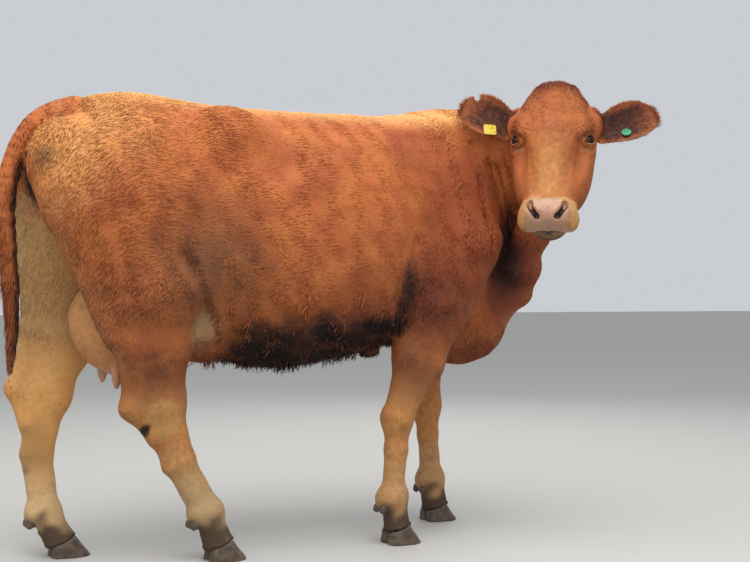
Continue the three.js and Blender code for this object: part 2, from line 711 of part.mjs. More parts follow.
function addLegs() {
  for (const leg of LEGS) {
    let made = legStretch(leg).solid.subtract(coronetBlock(leg, GAP)).subtract(udderStretch.outer);
    const joint = leg.knee ?? leg.hock;
    for (const side of BOTH) {
      made = made.subtract(dewclaw(leg, side, GAP));
      addNode(`${leg.name}_dewclaw_${side < 0 ? "right" : "left"}`, dewclaw(leg, side, 0), HORN);
    }
    if (isFore(leg)) {
      made = made.subtract(trunk.outer);
      addNode(`${leg.name}_forearm`, made.trimByPlane([0, 0, 1], joint[2] + GAP), LEG_COAT);
    } else {
      made = made.trimByPlane(thighNormal.map((v) => -v), -thighOffset);
      made = made.trimByPlane([0, leg.side, 0], GAP / 2);
      made = made.subtract(tailStretch.outer);
      const knee = leg.gaskin[2];
      addNode(`${leg.name}_thigh`, made.trimByPlane([0, 0, 1], knee + GAP), COAT);
      const gaskin = made.trimByPlane([0, 0, -1], -knee).trimByPlane([0, 0, 1], joint[2] + GAP);
      addNode(`${leg.name}_gaskin`, gaskin, LEG_COAT);
    }
    addNode(`${leg.name}_cannon`, made.trimByPlane([0, 0, -1], -joint[2]), LEG_COAT);
    for (const [half, inner] of [["left", -1], ["right", 1]]) {
      const y = leg.fetlock[1] - (inner * CLAW_GAP) / 2;
      addNode(`${leg.name}_claw_${half}`, claw(inner).translate([leg.toe - CLAW_LENGTH, y, 0]), HORN);
    }
  }
}

// Brings the middle of the model's footprint to the origin.
function centre() {
  const box = new THREE.Box3().setFromObject(cow);
  const middle = box.getCenter(new THREE.Vector3());
  for (const mesh of cow.children) mesh.geometry.translate(-middle.x, -middle.y, -box.min.z);
}

addTrunk();
addNeck();
addHead();
addEars();
addUdder();
addTail();
addLegs();
centre();

export default cow;
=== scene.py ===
"""Looks for a polled beef cow: life size, still, in mid stride, its head turned to its right.

One skin stands for all the flesh. It is the same blend of named masses as the solids, drawn in by the depth
of the coat, with folds, lids and nostrils worked into it. The coat lies over it as solid locks of hair.
"""

import logging
import math
from dataclasses import dataclass, field
from enum import Enum
from typing import Callable, Optional, Sequence

import bmesh
import bpy
import numpy as np
from mathutils import Matrix, Vector


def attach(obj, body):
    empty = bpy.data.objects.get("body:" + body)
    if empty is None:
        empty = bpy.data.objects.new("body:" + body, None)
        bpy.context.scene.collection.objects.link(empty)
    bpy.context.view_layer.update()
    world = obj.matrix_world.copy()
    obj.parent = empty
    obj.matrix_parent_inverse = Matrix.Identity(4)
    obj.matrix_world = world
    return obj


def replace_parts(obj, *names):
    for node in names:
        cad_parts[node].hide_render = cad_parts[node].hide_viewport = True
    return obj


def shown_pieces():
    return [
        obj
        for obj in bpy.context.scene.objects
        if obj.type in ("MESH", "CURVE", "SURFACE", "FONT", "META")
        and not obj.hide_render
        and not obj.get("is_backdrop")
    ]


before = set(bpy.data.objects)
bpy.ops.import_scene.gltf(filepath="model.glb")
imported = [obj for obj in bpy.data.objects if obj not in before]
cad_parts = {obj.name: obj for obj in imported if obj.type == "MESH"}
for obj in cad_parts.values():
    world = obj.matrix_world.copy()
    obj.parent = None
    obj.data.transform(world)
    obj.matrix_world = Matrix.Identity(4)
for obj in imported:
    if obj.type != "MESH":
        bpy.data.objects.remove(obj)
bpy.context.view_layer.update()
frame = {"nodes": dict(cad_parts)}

log = logging.getLogger("cow")

Array = np.ndarray
Point = tuple[float, float, float]

FOOTPRINT_SHIFT = np.array([-3.1016, 121.5949, 0.0])  # mm, from the body's own axes to the footprint's middle
BOTH = (-1, 1)  # the cow's right side and its left
MM = 0.001


# ---- Small tools ----------------------------------------------------------------------------------
def to_body(points: Array) -> Array:
    """Turns model positions in metres into millimetres on the body's own axes."""
    return np.asarray(points, float) * 1000.0 - FOOTPRINT_SHIFT


def to_model(points: Array) -> Array:
    """Turns millimetres on the body's own axes into model positions in metres."""
    return (np.asarray(points, float) + FOOTPRINT_SHIFT) * MM


def smoothstep(low: float, high: float, x: Array) -> Array:
    """A smooth rise from 0 at low to 1 at high; high may lie below low."""
    t = np.clip((np.asarray(x, float) - low) / (high - low), 0.0, 1.0)
    return t * t * (3.0 - 2.0 * t)


def unit(v: Array) -> Array:
    """The same vectors with length one."""
    v = np.asarray(v, float)
    return v / np.maximum(np.linalg.norm(v, axis=-1, keepdims=True), 1e-9)


def between(a: Sequence[float], b: Sequence[float], t: float) -> Point:
    """The point a share t of the way from a to b."""
    return tuple(p + (q - p) * t for p, q in zip(a, b))


def moved(p: Sequence[float], d: Sequence[float]) -> Point:
    """A point moved by d."""
    return tuple(a + b for a, b in zip(p, d))


def smooth_noise(points: Array, size: float, seed: int, waves: int = 9) -> Array:
    """A soft seeded noise between about -1 and 1.

    Args:
        points: positions in mm, one row each.
        size: the width of a typical patch in mm.
        seed: picks the pattern.
        waves: how many plane waves are summed.

    Returns:
        One value for each point.
    """
    rng = np.random.default_rng(seed)
    total = np.zeros(len(points))
    for _ in range(waves):
        direction = unit(rng.normal(size=3)) * (math.pi / size) * rng.uniform(0.6, 1.5)
        total += np.sin(points @ direction + rng.uniform(0, 2 * math.pi))
    return total / math.sqrt(waves) * 0.8


def smooth_path(points: Sequence[Point], parts: int) -> Array:
    """Cuts a uniform Catmull-Rom curve through some points into equal parts.

    Args:
        points: what the curve goes through.
        parts: how many parts.

    Returns:
        The ends of the parts, one more than there are parts.
    """
    p = np.array(points, float)
    p = np.vstack([2 * p[0] - p[1], p, 2 * p[-1] - p[-2]])
    at = np.linspace(0, len(points) - 1, parts + 1)
    i = np.minimum(at.astype(int), len(points) - 2)
    t = (at - i)[:, None]
    a, b, c, d = p[i], p[i + 1], p[i + 2], p[i + 3]
    return 0.5 * (2 * b + (c - a) * t + (2 * a - 5 * b + 4 * c - d) * t**2 + (3 * b - a - 3 * c + d) * t**3)


def distance_to_path(points: Array, path: Array) -> Array:
    """The distance of each point from an open path of straight stretches."""
    best = np.full(len(points), 1e9)
    for a, b in zip(path[:-1], path[1:]):
        along = b - a
        t = np.clip((points - a) @ along / max(along @ along, 1e-9), 0, 1)
        best = np.minimum(best, np.linalg.norm(points - a - t[:, None] * along, axis=1))
    return best


@dataclass(frozen=True)
class Axes:
    """A turned and placed frame inside the body: its rows are its X, Y and Z axes."""

    rows: Array
    origin: Array

    def into(self, points: Array) -> Array:
        """Body positions, seen in this frame."""
        return (points - self.origin) @ self.rows.T

    def out(self, points: Array) -> Array:
        """Positions in this frame, seen in the body."""
        return np.asarray(points, float) @ self.rows + self.origin

    def turn_out(self, directions: Array) -> Array:
        """Directions in this frame, seen in the body."""
        return np.asarray(directions, float) @ self.rows


def turned(vector: Array, axis: Array, degrees: float) -> Array:
    """A vector turned round an axis of length one."""
    a = math.radians(degrees)
    kept = axis * (axis @ vector) * (1 - math.cos(a))
    return vector * math.cos(a) + np.cross(axis, vector) * math.sin(a) + kept


BODY_AXES = Axes(np.eye(3), np.zeros(3))


# ---- Flesh: the same named masses as the solids -----------------------------------------------------
def ellipsoid_distance(q: Array, radii: Array) -> Array:
    """About how far points lie from an ellipsoid round the origin, below zero inside it."""
    near = np.linalg.norm(q / radii, axis=1)
    slope = np.linalg.norm(q / (radii * radii), axis=1)
    return near * (near - 1) / np.maximum(slope, 1e-9)


@dataclass
class Mass:
    """One ellipsoid of flesh.

    turn is its roll, pitch and yaw in degrees, and blend is how far it melts into others, in mm.
    """

    centre: Point
    radii: Point
    turn: Point = (0, 0, 0)
    blend: float = 60
    frame: Axes = BODY_AXES

    def __post_init__(self) -> None:
        """Works out its place."""
        roll, pitch, yaw = (math.radians(v) for v in self.turn)
        own = Matrix.Rotation(yaw, 3, "Z") @ Matrix.Rotation(pitch, 3, "Y") @ Matrix.Rotation(roll, 3, "X")
        rows = np.array(own).T @ self.frame.rows
        self.place = Axes(rows, self.frame.out(np.array(self.centre, float)))
        self.middle = self.place.origin
        self.reach = max(self.radii)

    def distance(self, points: Array) -> Array:
        """How far body points lie outside it."""
        return ellipsoid_distance(self.place.into(points), np.array(self.radii, float))


@dataclass
class Limb:
    """A tapered length of flesh. A size is half depth, half width; the width lies along across."""

    start: Point
    end: Point
    size_start: tuple[float, float]
    size_end: tuple[float, float]
    blend: float = 40
    frame: Axes = BODY_AXES

    def __post_init__(self) -> None:
        """Works out its place."""
        a, b = np.array(self.start, float), np.array(self.end, float)
        self.length = float(np.linalg.norm(b - a))
        along = unit(b - a)
        side = np.array([0.0, 1.0, 0.0])
        side = unit(side - along * (side @ along))
        depth = np.cross(along, side)
        self.place = Axes(np.stack([depth, along, side]) @ self.frame.rows, self.frame.out(a))
        self.middle = self.frame.out((a + b) / 2)
        self.reach = self.length / 2 + max(*self.size_start, *self.size_end)

    def distance(self, points: Array) -> Array:
        """How far body points lie outside it."""
        q = self.place.into(points)
        t = np.clip(q[:, 1] / self.length, 0, 1)
        depth = self.size_start[0] + (self.size_end[0] - self.size_start[0]) * t
        width = self.size_start[1] + (self.size_end[1] - self.size_start[1]) * t
        q[:, 1] -= t * self.length
        return ellipsoid_distance(q, np.stack([depth, np.minimum(depth, width), width], axis=1))


@dataclass
class Barrel:
    """The barrel of the body between stations: (x, top, widest level, bottom, half width) in mm."""

    stations: Sequence[tuple[float, float, float, float, float]]
    blend: float = 60
    fullness: float = 2.25
    cap: float = 90

    def __post_init__(self) -> None:
        """Works out its reach."""
        self.middle = np.array([-60.0, 0.0, 1000.0])
        self.reach = 900.0

    def sizes_at(self, x: Array) -> Array:
        """The four sizes at each x, on a smooth curve through the stations."""
        s = np.array(self.stations, float)
        last = len(s) - 1
        i = np.clip(np.searchsorted(s[:, 0], x, side="left") - 1, 0, last - 1)
        p0, p1, p2, p3 = s[np.maximum(i - 1, 0)], s[i], s[i + 1], s[np.minimum(i + 2, last)]
        span = (p2[:, 0] - p1[:, 0])[:, None]
        t = np.clip((x - p1[:, 0])[:, None] / span, 0, 1)
        u, v = t * t, t * t * t
        leaving = (p2 - p0) / np.maximum(p2[:, :1] - p0[:, :1], 1e-9) * span
        arriving = (p3 - p1) / np.maximum(p3[:, :1] - p1[:, :1], 1e-9) * span
        leaving[i == 0] = 0
        arriving[i + 1 == last] = 0
        ends = (2 * v - 3 * u + 1) * p1 + (3 * u - 2 * v) * p2
        curve = ends + (v - 2 * u + t) * leaving + (v - u) * arriving
        return curve[:, 1:]

    def distance(self, points: Array) -> Array:
        """How far body points lie outside it."""
        x = np.clip(points[:, 0], self.stations[0][0], self.stations[-1][0])
        top, widest, bottom, half = self.sizes_at(x).T
        height = np.where(points[:, 2] > widest, top - widest, widest - bottom)
        n = self.fullness
        parts = (points[:, 1] / half, (points[:, 2] - widest) / height, (points[:, 0] - x) / self.cap)
        near = sum(np.abs(part) ** n for part in parts) ** (1 / n)
        return (near - 1) * np.minimum(half, height) * 0.9


def melt(d: Array, e: Array, blend: float) -> Array:
    """The smooth union of two distances."""
    overlap = np.maximum(blend - np.abs(d - e), 0) / blend
    return np.minimum(d, e) - overlap * overlap * blend / 4


def melt_all(points: Array, masses: Sequence, start: Optional[Array] = None) -> Array:
    """The distance from many masses melted together in order, skipping those too far off to matter."""
    d = np.full(len(points), 400.0) if start is None else start.copy()
    for mass in masses:
        gap = np.linalg.norm(points - mass.middle, axis=1) - mass.reach
        near = gap < d + mass.blend
        if near.any():
            d[near] = melt(d[near], mass.distance(points[near]), mass.blend)
    return d


def press(points: Array, d: Array, hollows: Sequence[Mass]) -> Array:
    """The same distance with hollows pressed into it."""
    for hollow in hollows:
        near = np.linalg.norm(points - hollow.middle, axis=1) < hollow.reach + 40
        if near.any():
            d[near] = -melt(-d[near], hollow.distance(points[near]), hollow.blend)
    return d


class Region(Enum):
    """The stretches of the body that the coat treats differently."""

    TRUNK = 0
    HIND_RIGHT = 1
    HIND_LEFT = 2
    FORE_RIGHT = 3
    FORE_LEFT = 4
    NECK = 5
    DEWLAP = 6
    HEAD = 7
    UDDER = 8
    TAIL = 9


def head_axes(
    origin: Point = (735, -354, 1472), pitch: float = 66, turn: float = 130, tilt: float = 1.5
) -> Axes:
    """The head's frame: X down the face from the poll, Y to its left, Z out of the forehead."""
    p, t = math.radians(pitch), math.radians(turn)
    ahead, up = np.array([math.cos(t), -math.sin(t), 0]), np.array([0, 0, 1.0])
    face = ahead * math.cos(p) - up * math.sin(p)
    brow = ahead * math.sin(p) + up * math.cos(p)
    face = turned(face, brow, -tilt)
    return Axes(np.stack([face, np.cross(brow, face), brow]), np.array(origin, float))


HEAD = head_axes()


@dataclass(frozen=True)
class Leg:
    """The joint centres of one leg, in mm."""

    name: str
    side: int
    joints: dict[str, Point]
    toe: float


LEGS = (
    Leg("foreleg_right", -1, dict(shoulder=(505, -195, 965), elbow=(385, -178, 745), knee=(250, -158, 402),
                                  fetlock=(238, -150, 150)), 332),
    Leg("foreleg_left", 1, dict(shoulder=(545, 195, 965), elbow=(512, 178, 745), knee=(534, 158, 405),
                                fetlock=(548, 150, 150)), 642),
    Leg("hindleg_right", -1, dict(hip=(-600, -148, 1050), stifle=(-545, -198, 810), ham=(-618, -172, 700),
                                  gaskin=(-552, -172, 640), hock=(-532, -152, 478), heel=(-620, -150, 468),
                                  shin=(-472, -140, 301), fetlock=(-380, -128, 148)), -258),
    Leg("hindleg_left", 1, dict(hip=(-640, 148, 1050), stifle=(-655, 196, 810), ham=(-775, 170, 715),
                                gaskin=(-757, 172, 650), hock=(-795, 156, 490), heel=(-888, 154, 515),
                                shin=(-826, 150, 316), fetlock=(-803, 142, 142)), -664),
)

TAIL_PATH = (
    (-745, 0, 1342), (-802, 0, 1324), (-850, 0, 1298), (-892, 0, 1254), (-924, 0, 1190), (-941, 0, 1120),
    (-946, 0, 1040), (-930, 0, 830), (-922, 0, 725), (-922, 0, 640), (-930, 0, 590),
)
TAIL_SIZES = (44, 42, 37, 32, 29, 28, 27, 25, 24, 18, 9)
TAIL_PARTS = 26
TEAT_TIPS = ((-634, -52, 516), (-650, 52, 530), (-520, -58, 508), (-520, 58, 508))
NECK_PATH = ((400, 0, 1090), (560, -30, 1150), (690, -145, 1235), (740, -285, 1325))


@dataclass
class Anatomy:
    """All the flesh, in named masses, and how each stretch joins the rest."""

    claw_length: float = 128
    root_blend: dict[Region, float] = field(default_factory=lambda: {
        Region.FORE_RIGHT: 40, Region.FORE_LEFT: 40, Region.NECK: 50, Region.DEWLAP: 45, Region.HEAD: 16,
        Region.UDDER: 22, Region.TAIL: 12})

    def __post_init__(self) -> None:
        """Lists the masses of every stretch."""
        self.trunk = [Barrel(self._stations())]
        for leg in LEGS:
            self.trunk += self._shoulder(leg) if "elbow" in leg.joints else self._thigh(leg)
        for side in BOTH:
            self.trunk += [
                Mass((-345, side * 205, 1262), (115, 74, 92)),
                Mass((-810, side * 108, 1222), (70, 58, 62)),
                Mass((-610, side * 150, 1110), (225, 118, 225), blend=80),
            ]
        self.trunk.append(Mass((580, 0, 714), (162, 116, 146), blend=80))
        self.trunk.append(Mass((-405, 0, 682), (125, 150, 88)))  # groin
        self.trunk.append(Mass((222, -10, 604), (34, 24, 24), blend=30))  # navel
        self.flanks = [Mass((-210, s * 352, 1225), (110, 62, 90), turn=(0, -30, 0)) for s in BOTH]
        fore = {leg.side: self._foreleg(leg) for leg in LEGS if "elbow" in leg.joints}
        hind = {leg.side: self._hindleg(leg) for leg in LEGS if "hip" in leg.joints}
        self.parts = {
            Region.HIND_RIGHT: hind[-1], Region.HIND_LEFT: hind[1],
            Region.FORE_RIGHT: fore[-1], Region.FORE_LEFT: fore[1],
            Region.NECK: self._neck(), Region.DEWLAP: self._dewlap(), Region.HEAD: self._head(),
            Region.UDDER: self._udder(), Region.TAIL: self._tail(),
        }
        self.head_hollows = []
        for s in BOTH:
            self.head_hollows.append(Mass((218, s * 130, 40), (24, 14, 22), blend=10, frame=HEAD))
            self.head_hollows.append(Mass((285, s * 98, 38), (60, 16, 30), blend=30, frame=HEAD))

    @staticmethod
    def _stations() -> list[tuple[float, float, float, float, float]]:
        """The barrel from the pins to the breast."""
        return [
            (-785, 1322, 1190, 1060, 120), (-720, 1383, 1170, 960, 190), (-590, 1406, 1130, 800, 238),
            (-340, 1385, 1080, 592, 288), (-110, 1384, 960, 550, 345), (130, 1390, 950, 588, 335),
            (300, 1398, 960, 616, 272), (430, 1414, 960, 610, 225), (570, 1398, 930, 610, 180),
            (660, 1300, 900, 650, 125),
        ]

    @staticmethod
    def _shoulder(leg: Leg) -> list:
        """The shoulder blade and upper arm, in the wall of the trunk."""
        shoulder, elbow, side = leg.joints["shoulder"], leg.joints["elbow"], leg.side
        return [
            Limb((395, side * 120, 1300), shoulder, (125, 52), (118, 66), blend=90),
            Limb(moved(shoulder, (-30, 0, -15)), elbow, (118, 66), (98, 58), blend=60),
            Mass(moved(elbow, (-75, side * 4, 25)), (48, 36, 60), turn=(0, 20, 0), blend=50),
        ]

    @staticmethod
    def _thigh(leg: Leg) -> list:
        """The thigh and the hamstring, in the wall of the trunk."""
        return [
            Limb(leg.joints["hip"], leg.joints["stifle"], (215, 112), (125, 74), blend=90),
            Limb((-806, leg.side * 118, 1165), leg.joints["ham"], (106, 85), (98, 58), blend=90),
        ]

    def _pastern(self, leg: Leg) -> list:
        """The fetlock and pastern, down into the coronet."""
        fetlock = leg.joints["fetlock"]
        foot = (leg.toe - 0.57 * self.claw_length, fetlock[1], 22)
        return [
            Mass(fetlock, (50, 44, 44), blend=25),
            Limb(fetlock, foot, (40, 40), (47, 50), blend=25),
            Mass(moved(fetlock, (-36, 0, -8)), (22, 36, 28), blend=25),
        ]

    def _foreleg(self, leg: Leg) -> list:
        """Forearm, knee and cannon."""
        elbow, knee, fetlock = (leg.joints[k] for k in ("elbow", "knee", "fetlock"))
        middle, low = between(elbow, knee, 0.48), between(elbow, knee, 0.83)
        cannon = between(knee, fetlock, 0.4)
        return [
            Limb(elbow, middle, (98, 60), (86, 54), blend=45),
            Limb(middle, low, (85, 53), (60, 44), blend=45),
            Mass(knee, (55, 47, 58), blend=35),
            Limb(knee, cannon, (50, 42), (39, 33), blend=25),
            Limb(cannon, fetlock, (38, 32), (40, 35), blend=20),
            *self._pastern(leg),
        ]

    def _hindleg(self, leg: Leg) -> list:
        """Gaskin, hock with its tendon, and cannon."""
        names = ("stifle", "gaskin", "hock", "heel", "shin", "fetlock")
        stifle, gaskin, hock, heel, shin, fetlock = (leg.joints[k] for k in names)
        return [
            Limb(stifle, gaskin, (118, 70), (100, 56), blend=50),
            Limb(gaskin, hock, (98, 56), (72, 45), blend=50),
            Limb(moved(gaskin, (-72, 0, 20)), heel, (34, 30), (27, 26), blend=45),
            Limb(heel, between(heel, shin, 0.52), (27, 26), (30, 32), blend=40),
            Mass(hock, (72, 50, 66), blend=35),
            Limb(hock, shin, (66, 44), (50, 36), blend=30),
            Limb(shin, fetlock, (49, 35), (45, 37), blend=20),
            *self._pastern(leg),
        ]

    @staticmethod
    def _neck() -> list:
        """The neck, bent to the right."""
        sizes = ((300, 165), (268, 132), (200, 108), (135, 92))
        return [Limb(NECK_PATH[i], NECK_PATH[i + 1], sizes[i], sizes[i + 1], blend=90) for i in range(3)]

    @staticmethod
    def _dewlap() -> list:
        """The fold of skin under the neck."""
        path = ((702, -15, 758), (742, -78, 815), (732, -150, 880), (722, -230, 1000), (716, -290, 1160))
        sizes = ((74, 48), (64, 44), (57, 42), (50, 42), (60, 48))
        return [Limb(path[i], path[i + 1], sizes[i], sizes[i + 1], blend=70) for i in range(4)]

    @staticmethod
    def _head() -> list:
        """Skull, jaws and muzzle, in the head's frame."""
        made = [
            Mass((104, 0, -8), (100, 114, 78), blend=40, frame=HEAD),
            Mass((32, 0, 21), (33, 72, 41), blend=30, frame=HEAD),
            Mass((165, 0, 28), (138, 108, 46), blend=40, frame=HEAD),
            Limb((205, 0, 26), (415, 0, 8), (46, 70), (46, 60), blend=40, frame=HEAD),
        ]
        for s in BOTH:
            made += [
                Mass((184, s * 98, 16), (52, 36, 40), blend=30, frame=HEAD),
                Limb((235, s * 85, -22), (385, s * 60, -18), (46, 42), (38, 36), blend=50, frame=HEAD),
                Mass((228, s * 82, -72), (115, 42, 80), blend=50, frame=HEAD),
                Mass((338, s * 72, -52), (82, 38, 46), blend=50, frame=HEAD),
                Limb((240, s * 48, -112), (425, s * 28, -62), (36, 30), (30, 28), blend=45, frame=HEAD),
                Mass((470, s * 50, 4), (44, 41, 46), blend=35, frame=HEAD),
                Mass((491, s * 66, -11), (29, 27, 27), blend=24, frame=HEAD),
                Mass((138, s * 112, -6), (58, 50, 30), blend=26, frame=HEAD),
            ]
        made.append(Mass((470, 0, 2), (46, 72, 50), blend=30, frame=HEAD))
        made.append(Mass((480, 0, -53), (50, 58, 33), blend=22, frame=HEAD))
        return made

    @staticmethod
    def _udder() -> list:
        """The udder, without its teats."""
        return [Mass((-582, 0, 705), (185, 108, 160), turn=(0, 16, 0))]

    @staticmethod
    def _tail() -> list:
        """The tail, down to the end of its bones."""
        cuts = smooth_path(TAIL_PATH, TAIL_PARTS)
        at = np.linspace(0, len(TAIL_SIZES) - 1, TAIL_PARTS + 1)
        sizes = np.interp(at, range(len(TAIL_SIZES)), TAIL_SIZES)
        return [
            Limb(cuts[i], cuts[i + 1], (sizes[i],) * 2, (sizes[i + 1],) * 2, blend=8)
            for i in range(TAIL_PARTS)
        ]

    def survey(self, points: Array) -> tuple[Array, Array]:
        """Measures points against the flesh.

        Args:
            points: body positions in mm.

        Returns:
            The distance of each point from the whole flesh, and a row of shares that says which regions it
            belongs to.
        """
        each = np.full((len(points), len(Region)), 400.0)
        whole = melt_all(points, self.trunk)
        each[:, Region.TRUNK.value] = whole
        for region in (Region.HIND_RIGHT, Region.HIND_LEFT):
            each[:, region.value] = melt_all(points, self.parts[region])
            whole = melt_all(points, self.parts[region], whole)
        whole = press(points, whole, self.flanks)
        for region, blend in self.root_blend.items():
            d = melt_all(points, self.parts[region])
            if region is Region.HEAD:
                d = press(points, d, self.head_hollows)
            each[:, region.value] = d
            whole = melt(whole, d, blend)
        share = np.exp(-np.clip(each - each.min(axis=1, keepdims=True), 0, 300) / 12.0)
        return whole, share / share.sum(axis=1, keepdims=True)

    def slope(self, points: Array, step: float = 1.5) -> Array:
        """The outward direction of the flesh at each point."""
        corners = np.array([(1, -1, -1), (-1, -1, 1), (-1, 1, -1), (1, 1, 1)], float)
        total = sum(k * self.survey(points + k * step)[0][:, None] for k in corners)
        return unit(total)


# ---- Relief: folds and swellings worked into the skin ------------------------------------------------
@dataclass(frozen=True)
class Fold:
    """A ridge, or with a height below zero a groove, along a path. both also makes its mirror image."""

    path: Sequence[Point]
    width: float
    height: float
    frame: Axes = BODY_AXES
    both: bool = True

    def lift(self, points: Array) -> Array:
        """How far it raises each body point, in mm."""
        total = np.zeros(len(points))
        for side in (1, -1) if self.both else (1,):
            path = self.frame.out(np.array(self.path, float) * np.array([1, side, 1]))
            middle = path.mean(axis=0)
            reach = np.linalg.norm(path - middle, axis=1).max() + 3 * self.width
            near = np.linalg.norm(points - middle, axis=1) < reach
            if near.any():
                away = distance_to_path(points[near], path) / self.width
                total[near] += self.height * np.exp(-away * away)
        return total


@dataclass(frozen=True)
class Patch:
    """A soft-edged ellipsoid. both also makes its mirror image; edge is the share of it that fades."""

    centre: Point
    radii: Point
    strength: float = 1.0
    edge: float = 0.45
    frame: Axes = BODY_AXES
    both: bool = True

    def cover(self, points: Array) -> Array:
        """How strongly it covers each body point."""
        own = self.frame.into(points)
        total = np.zeros(len(points))
        for side in (1, -1) if self.both and self.centre[1] else (1,):
            centre = np.array(self.centre, float) * np.array([1, side, 1])
            away = np.linalg.norm((own - centre) / np.array(self.radii, float), axis=1)
            total = np.maximum(total, smoothstep(1 + self.edge, 1 - self.edge, away))
        return total * self.strength


@dataclass(frozen=True)
class EyeSocket:
    """One eye and its lids. The lids meet along a line that rises from the nose side to the ear side."""

    side: int
    radius: float = 21.0
    half_width: float = 19.0
    upper: float = 13.0
    lower: float = 12.0
    lid: float = 2.6

    @property
    def axes(self) -> Axes:
        """X along the lids towards the ear, Y towards the upper lid, Z out of the eye."""
        out = unit(np.array([0.03, 0.66 * self.side, 0.75]))
        back = np.array([0.0, self.side * 0.75, -0.66])
        along = unit(np.array([-0.5, 0, 0]) + 0.86 * back)
        along = unit(along - out * (along @ out))
        up = np.cross(out, along)
        if up[0] > 0:
            up = -up
        rows = np.stack([along, up, out]) @ HEAD.rows
        return Axes(rows, HEAD.out(np.array([216.0, 109.0 * self.side, 16.0])))

    def opening(self, x: Array, y: Array) -> Array:
        """Below 1 inside the opening of the lids, for positions on the axes' X and Y."""
        level = np.abs(np.clip(x / self.half_width, -1, 1))
        half = np.where(y > 0, self.upper, self.lower) * np.maximum(1 - level**2.2, 0.02) ** 0.75
        return np.where(np.abs(x) > self.half_width, 2.0 + level, np.abs(y) / half)

    def rim(self, steps: int) -> Array:
        """The closed edge of the opening, on the ball of the eye, in body mm."""
        angle = np.linspace(0, 2 * math.pi, steps, endpoint=False)
        x = self.half_width * np.cos(angle)
        half = np.where(np.sin(angle) > 0, self.upper, self.lower)
        y = np.sign(np.sin(angle)) * half * np.maximum(1 - np.abs(np.cos(angle)) ** 2.2, 0) ** 0.75
        z = np.sqrt((self.radius + 0.6) ** 2 - x * x - y * y)
        return self.axes.out(np.stack([x, y, z], axis=1))

    def shape(self, points: Array) -> Array:
        """Moves the skin round the eye: lids over the ball, and a hollow behind the opening."""
        own = self.axes.into(points)
        away = np.linalg.norm(own, axis=1)
        near = (away < 44) & (own[:, 2] > -8)
        q, r = own[near], away[near]
        direction = q / r[:, None]
        flat = direction * self.radius
        gape = self.opening(flat[:, 0], flat[:, 1])
        outward = np.linalg.norm(flat[:, :2] * np.array([1.0, 1.25]), axis=1)
        hold = smoothstep(34, 21, outward * np.where(direction[:, 2] > 0, 1, 2))
        lid_radius = self.radius + self.lid + 1.2 * smoothstep(1.0, 1.9, gape)
        wanted = np.where(gape < 1.0, self.radius - 5.0, lid_radius)
        free = np.where(r > 40, 0.0, 1.0) * hold
        reached = r + (wanted - r) * free
        reached = np.where(gape < 1.0, reached, np.maximum(reached, self.radius + 1.8))
        own[near] = direction * reached[:, None]
        return self.axes.out(own)


EYES = (EyeSocket(-1), EyeSocket(1))


@dataclass(frozen=True)
class Ear:
    """One ear, pressed from a ball into a cupped leaf."""

    name: str
    side: int
    root: Point
    tip: Point
    notched: bool
    length: float
    width: float = 148
    thickness: float = 13

    @property
    def axes(self) -> Axes:
        """X across the leaf, Y along it, Z out of its hollow side."""
        along = unit(np.subtract(self.tip, self.root))
        hollow = np.array([0.12, 0, 1.0])
        hollow = unit(hollow - along * (hollow @ along))
        across = np.cross(along, hollow)
        return Axes(np.stack([across, along, hollow]) @ HEAD.rows, HEAD.out(np.array(self.root, float)))

    def cup(self, across: Array) -> Array:
        """How far the leaf curls forward."""
        return 34 * (across / (self.width / 2)) ** 2

    def place(self, x: Array, y: Array, z: Array, inset: float) -> Array:
        """Turns positions on a unit ball into body positions on the leaf, drawn in by inset mm."""
        t = (y + 1) / 2
        across = x * (self.width / 2 * (0.9 + 0.16 * t + 0.9 * (1 - t) ** 12) - inset * 1.2)
        half = self.thickness / 2 - inset * 0.35 + 9 * np.maximum(1 - t * 2.2, 0)
        ridges = 1.6 * np.cos(across / 3.6) * smoothstep(0.1, 0.3, t) * smoothstep(0.85, 0.5, t) * (z > 0)
        thick = z * half + ridges * np.clip(z, 0, 1) ** 0.5
        height = thick + self.cup(across) - 16 * (1 - t) ** 2
        local = np.stack([across, t * self.length - y * inset, height], axis=1)
        return self.axes.out(local)


EARS = (
    Ear("ear_right", -1, (156, -116, -12), (80, -316, 28), True, 210),
    Ear("ear_left", 1, (168, 118, -12), (86, 332, -36), False, 226),
)


# In the head's frame.
NOSTRIL_PATH = ((450, 56, 50), (466, 54, 50), (482, 44, 47), (496, 31, 41))
MOUTH_PATH = (
    (520, 0, -21), (514, 30, -21), (506, 50, -22), (492, 74, -24), (462, 90, -34), (432, 86, -46),
)


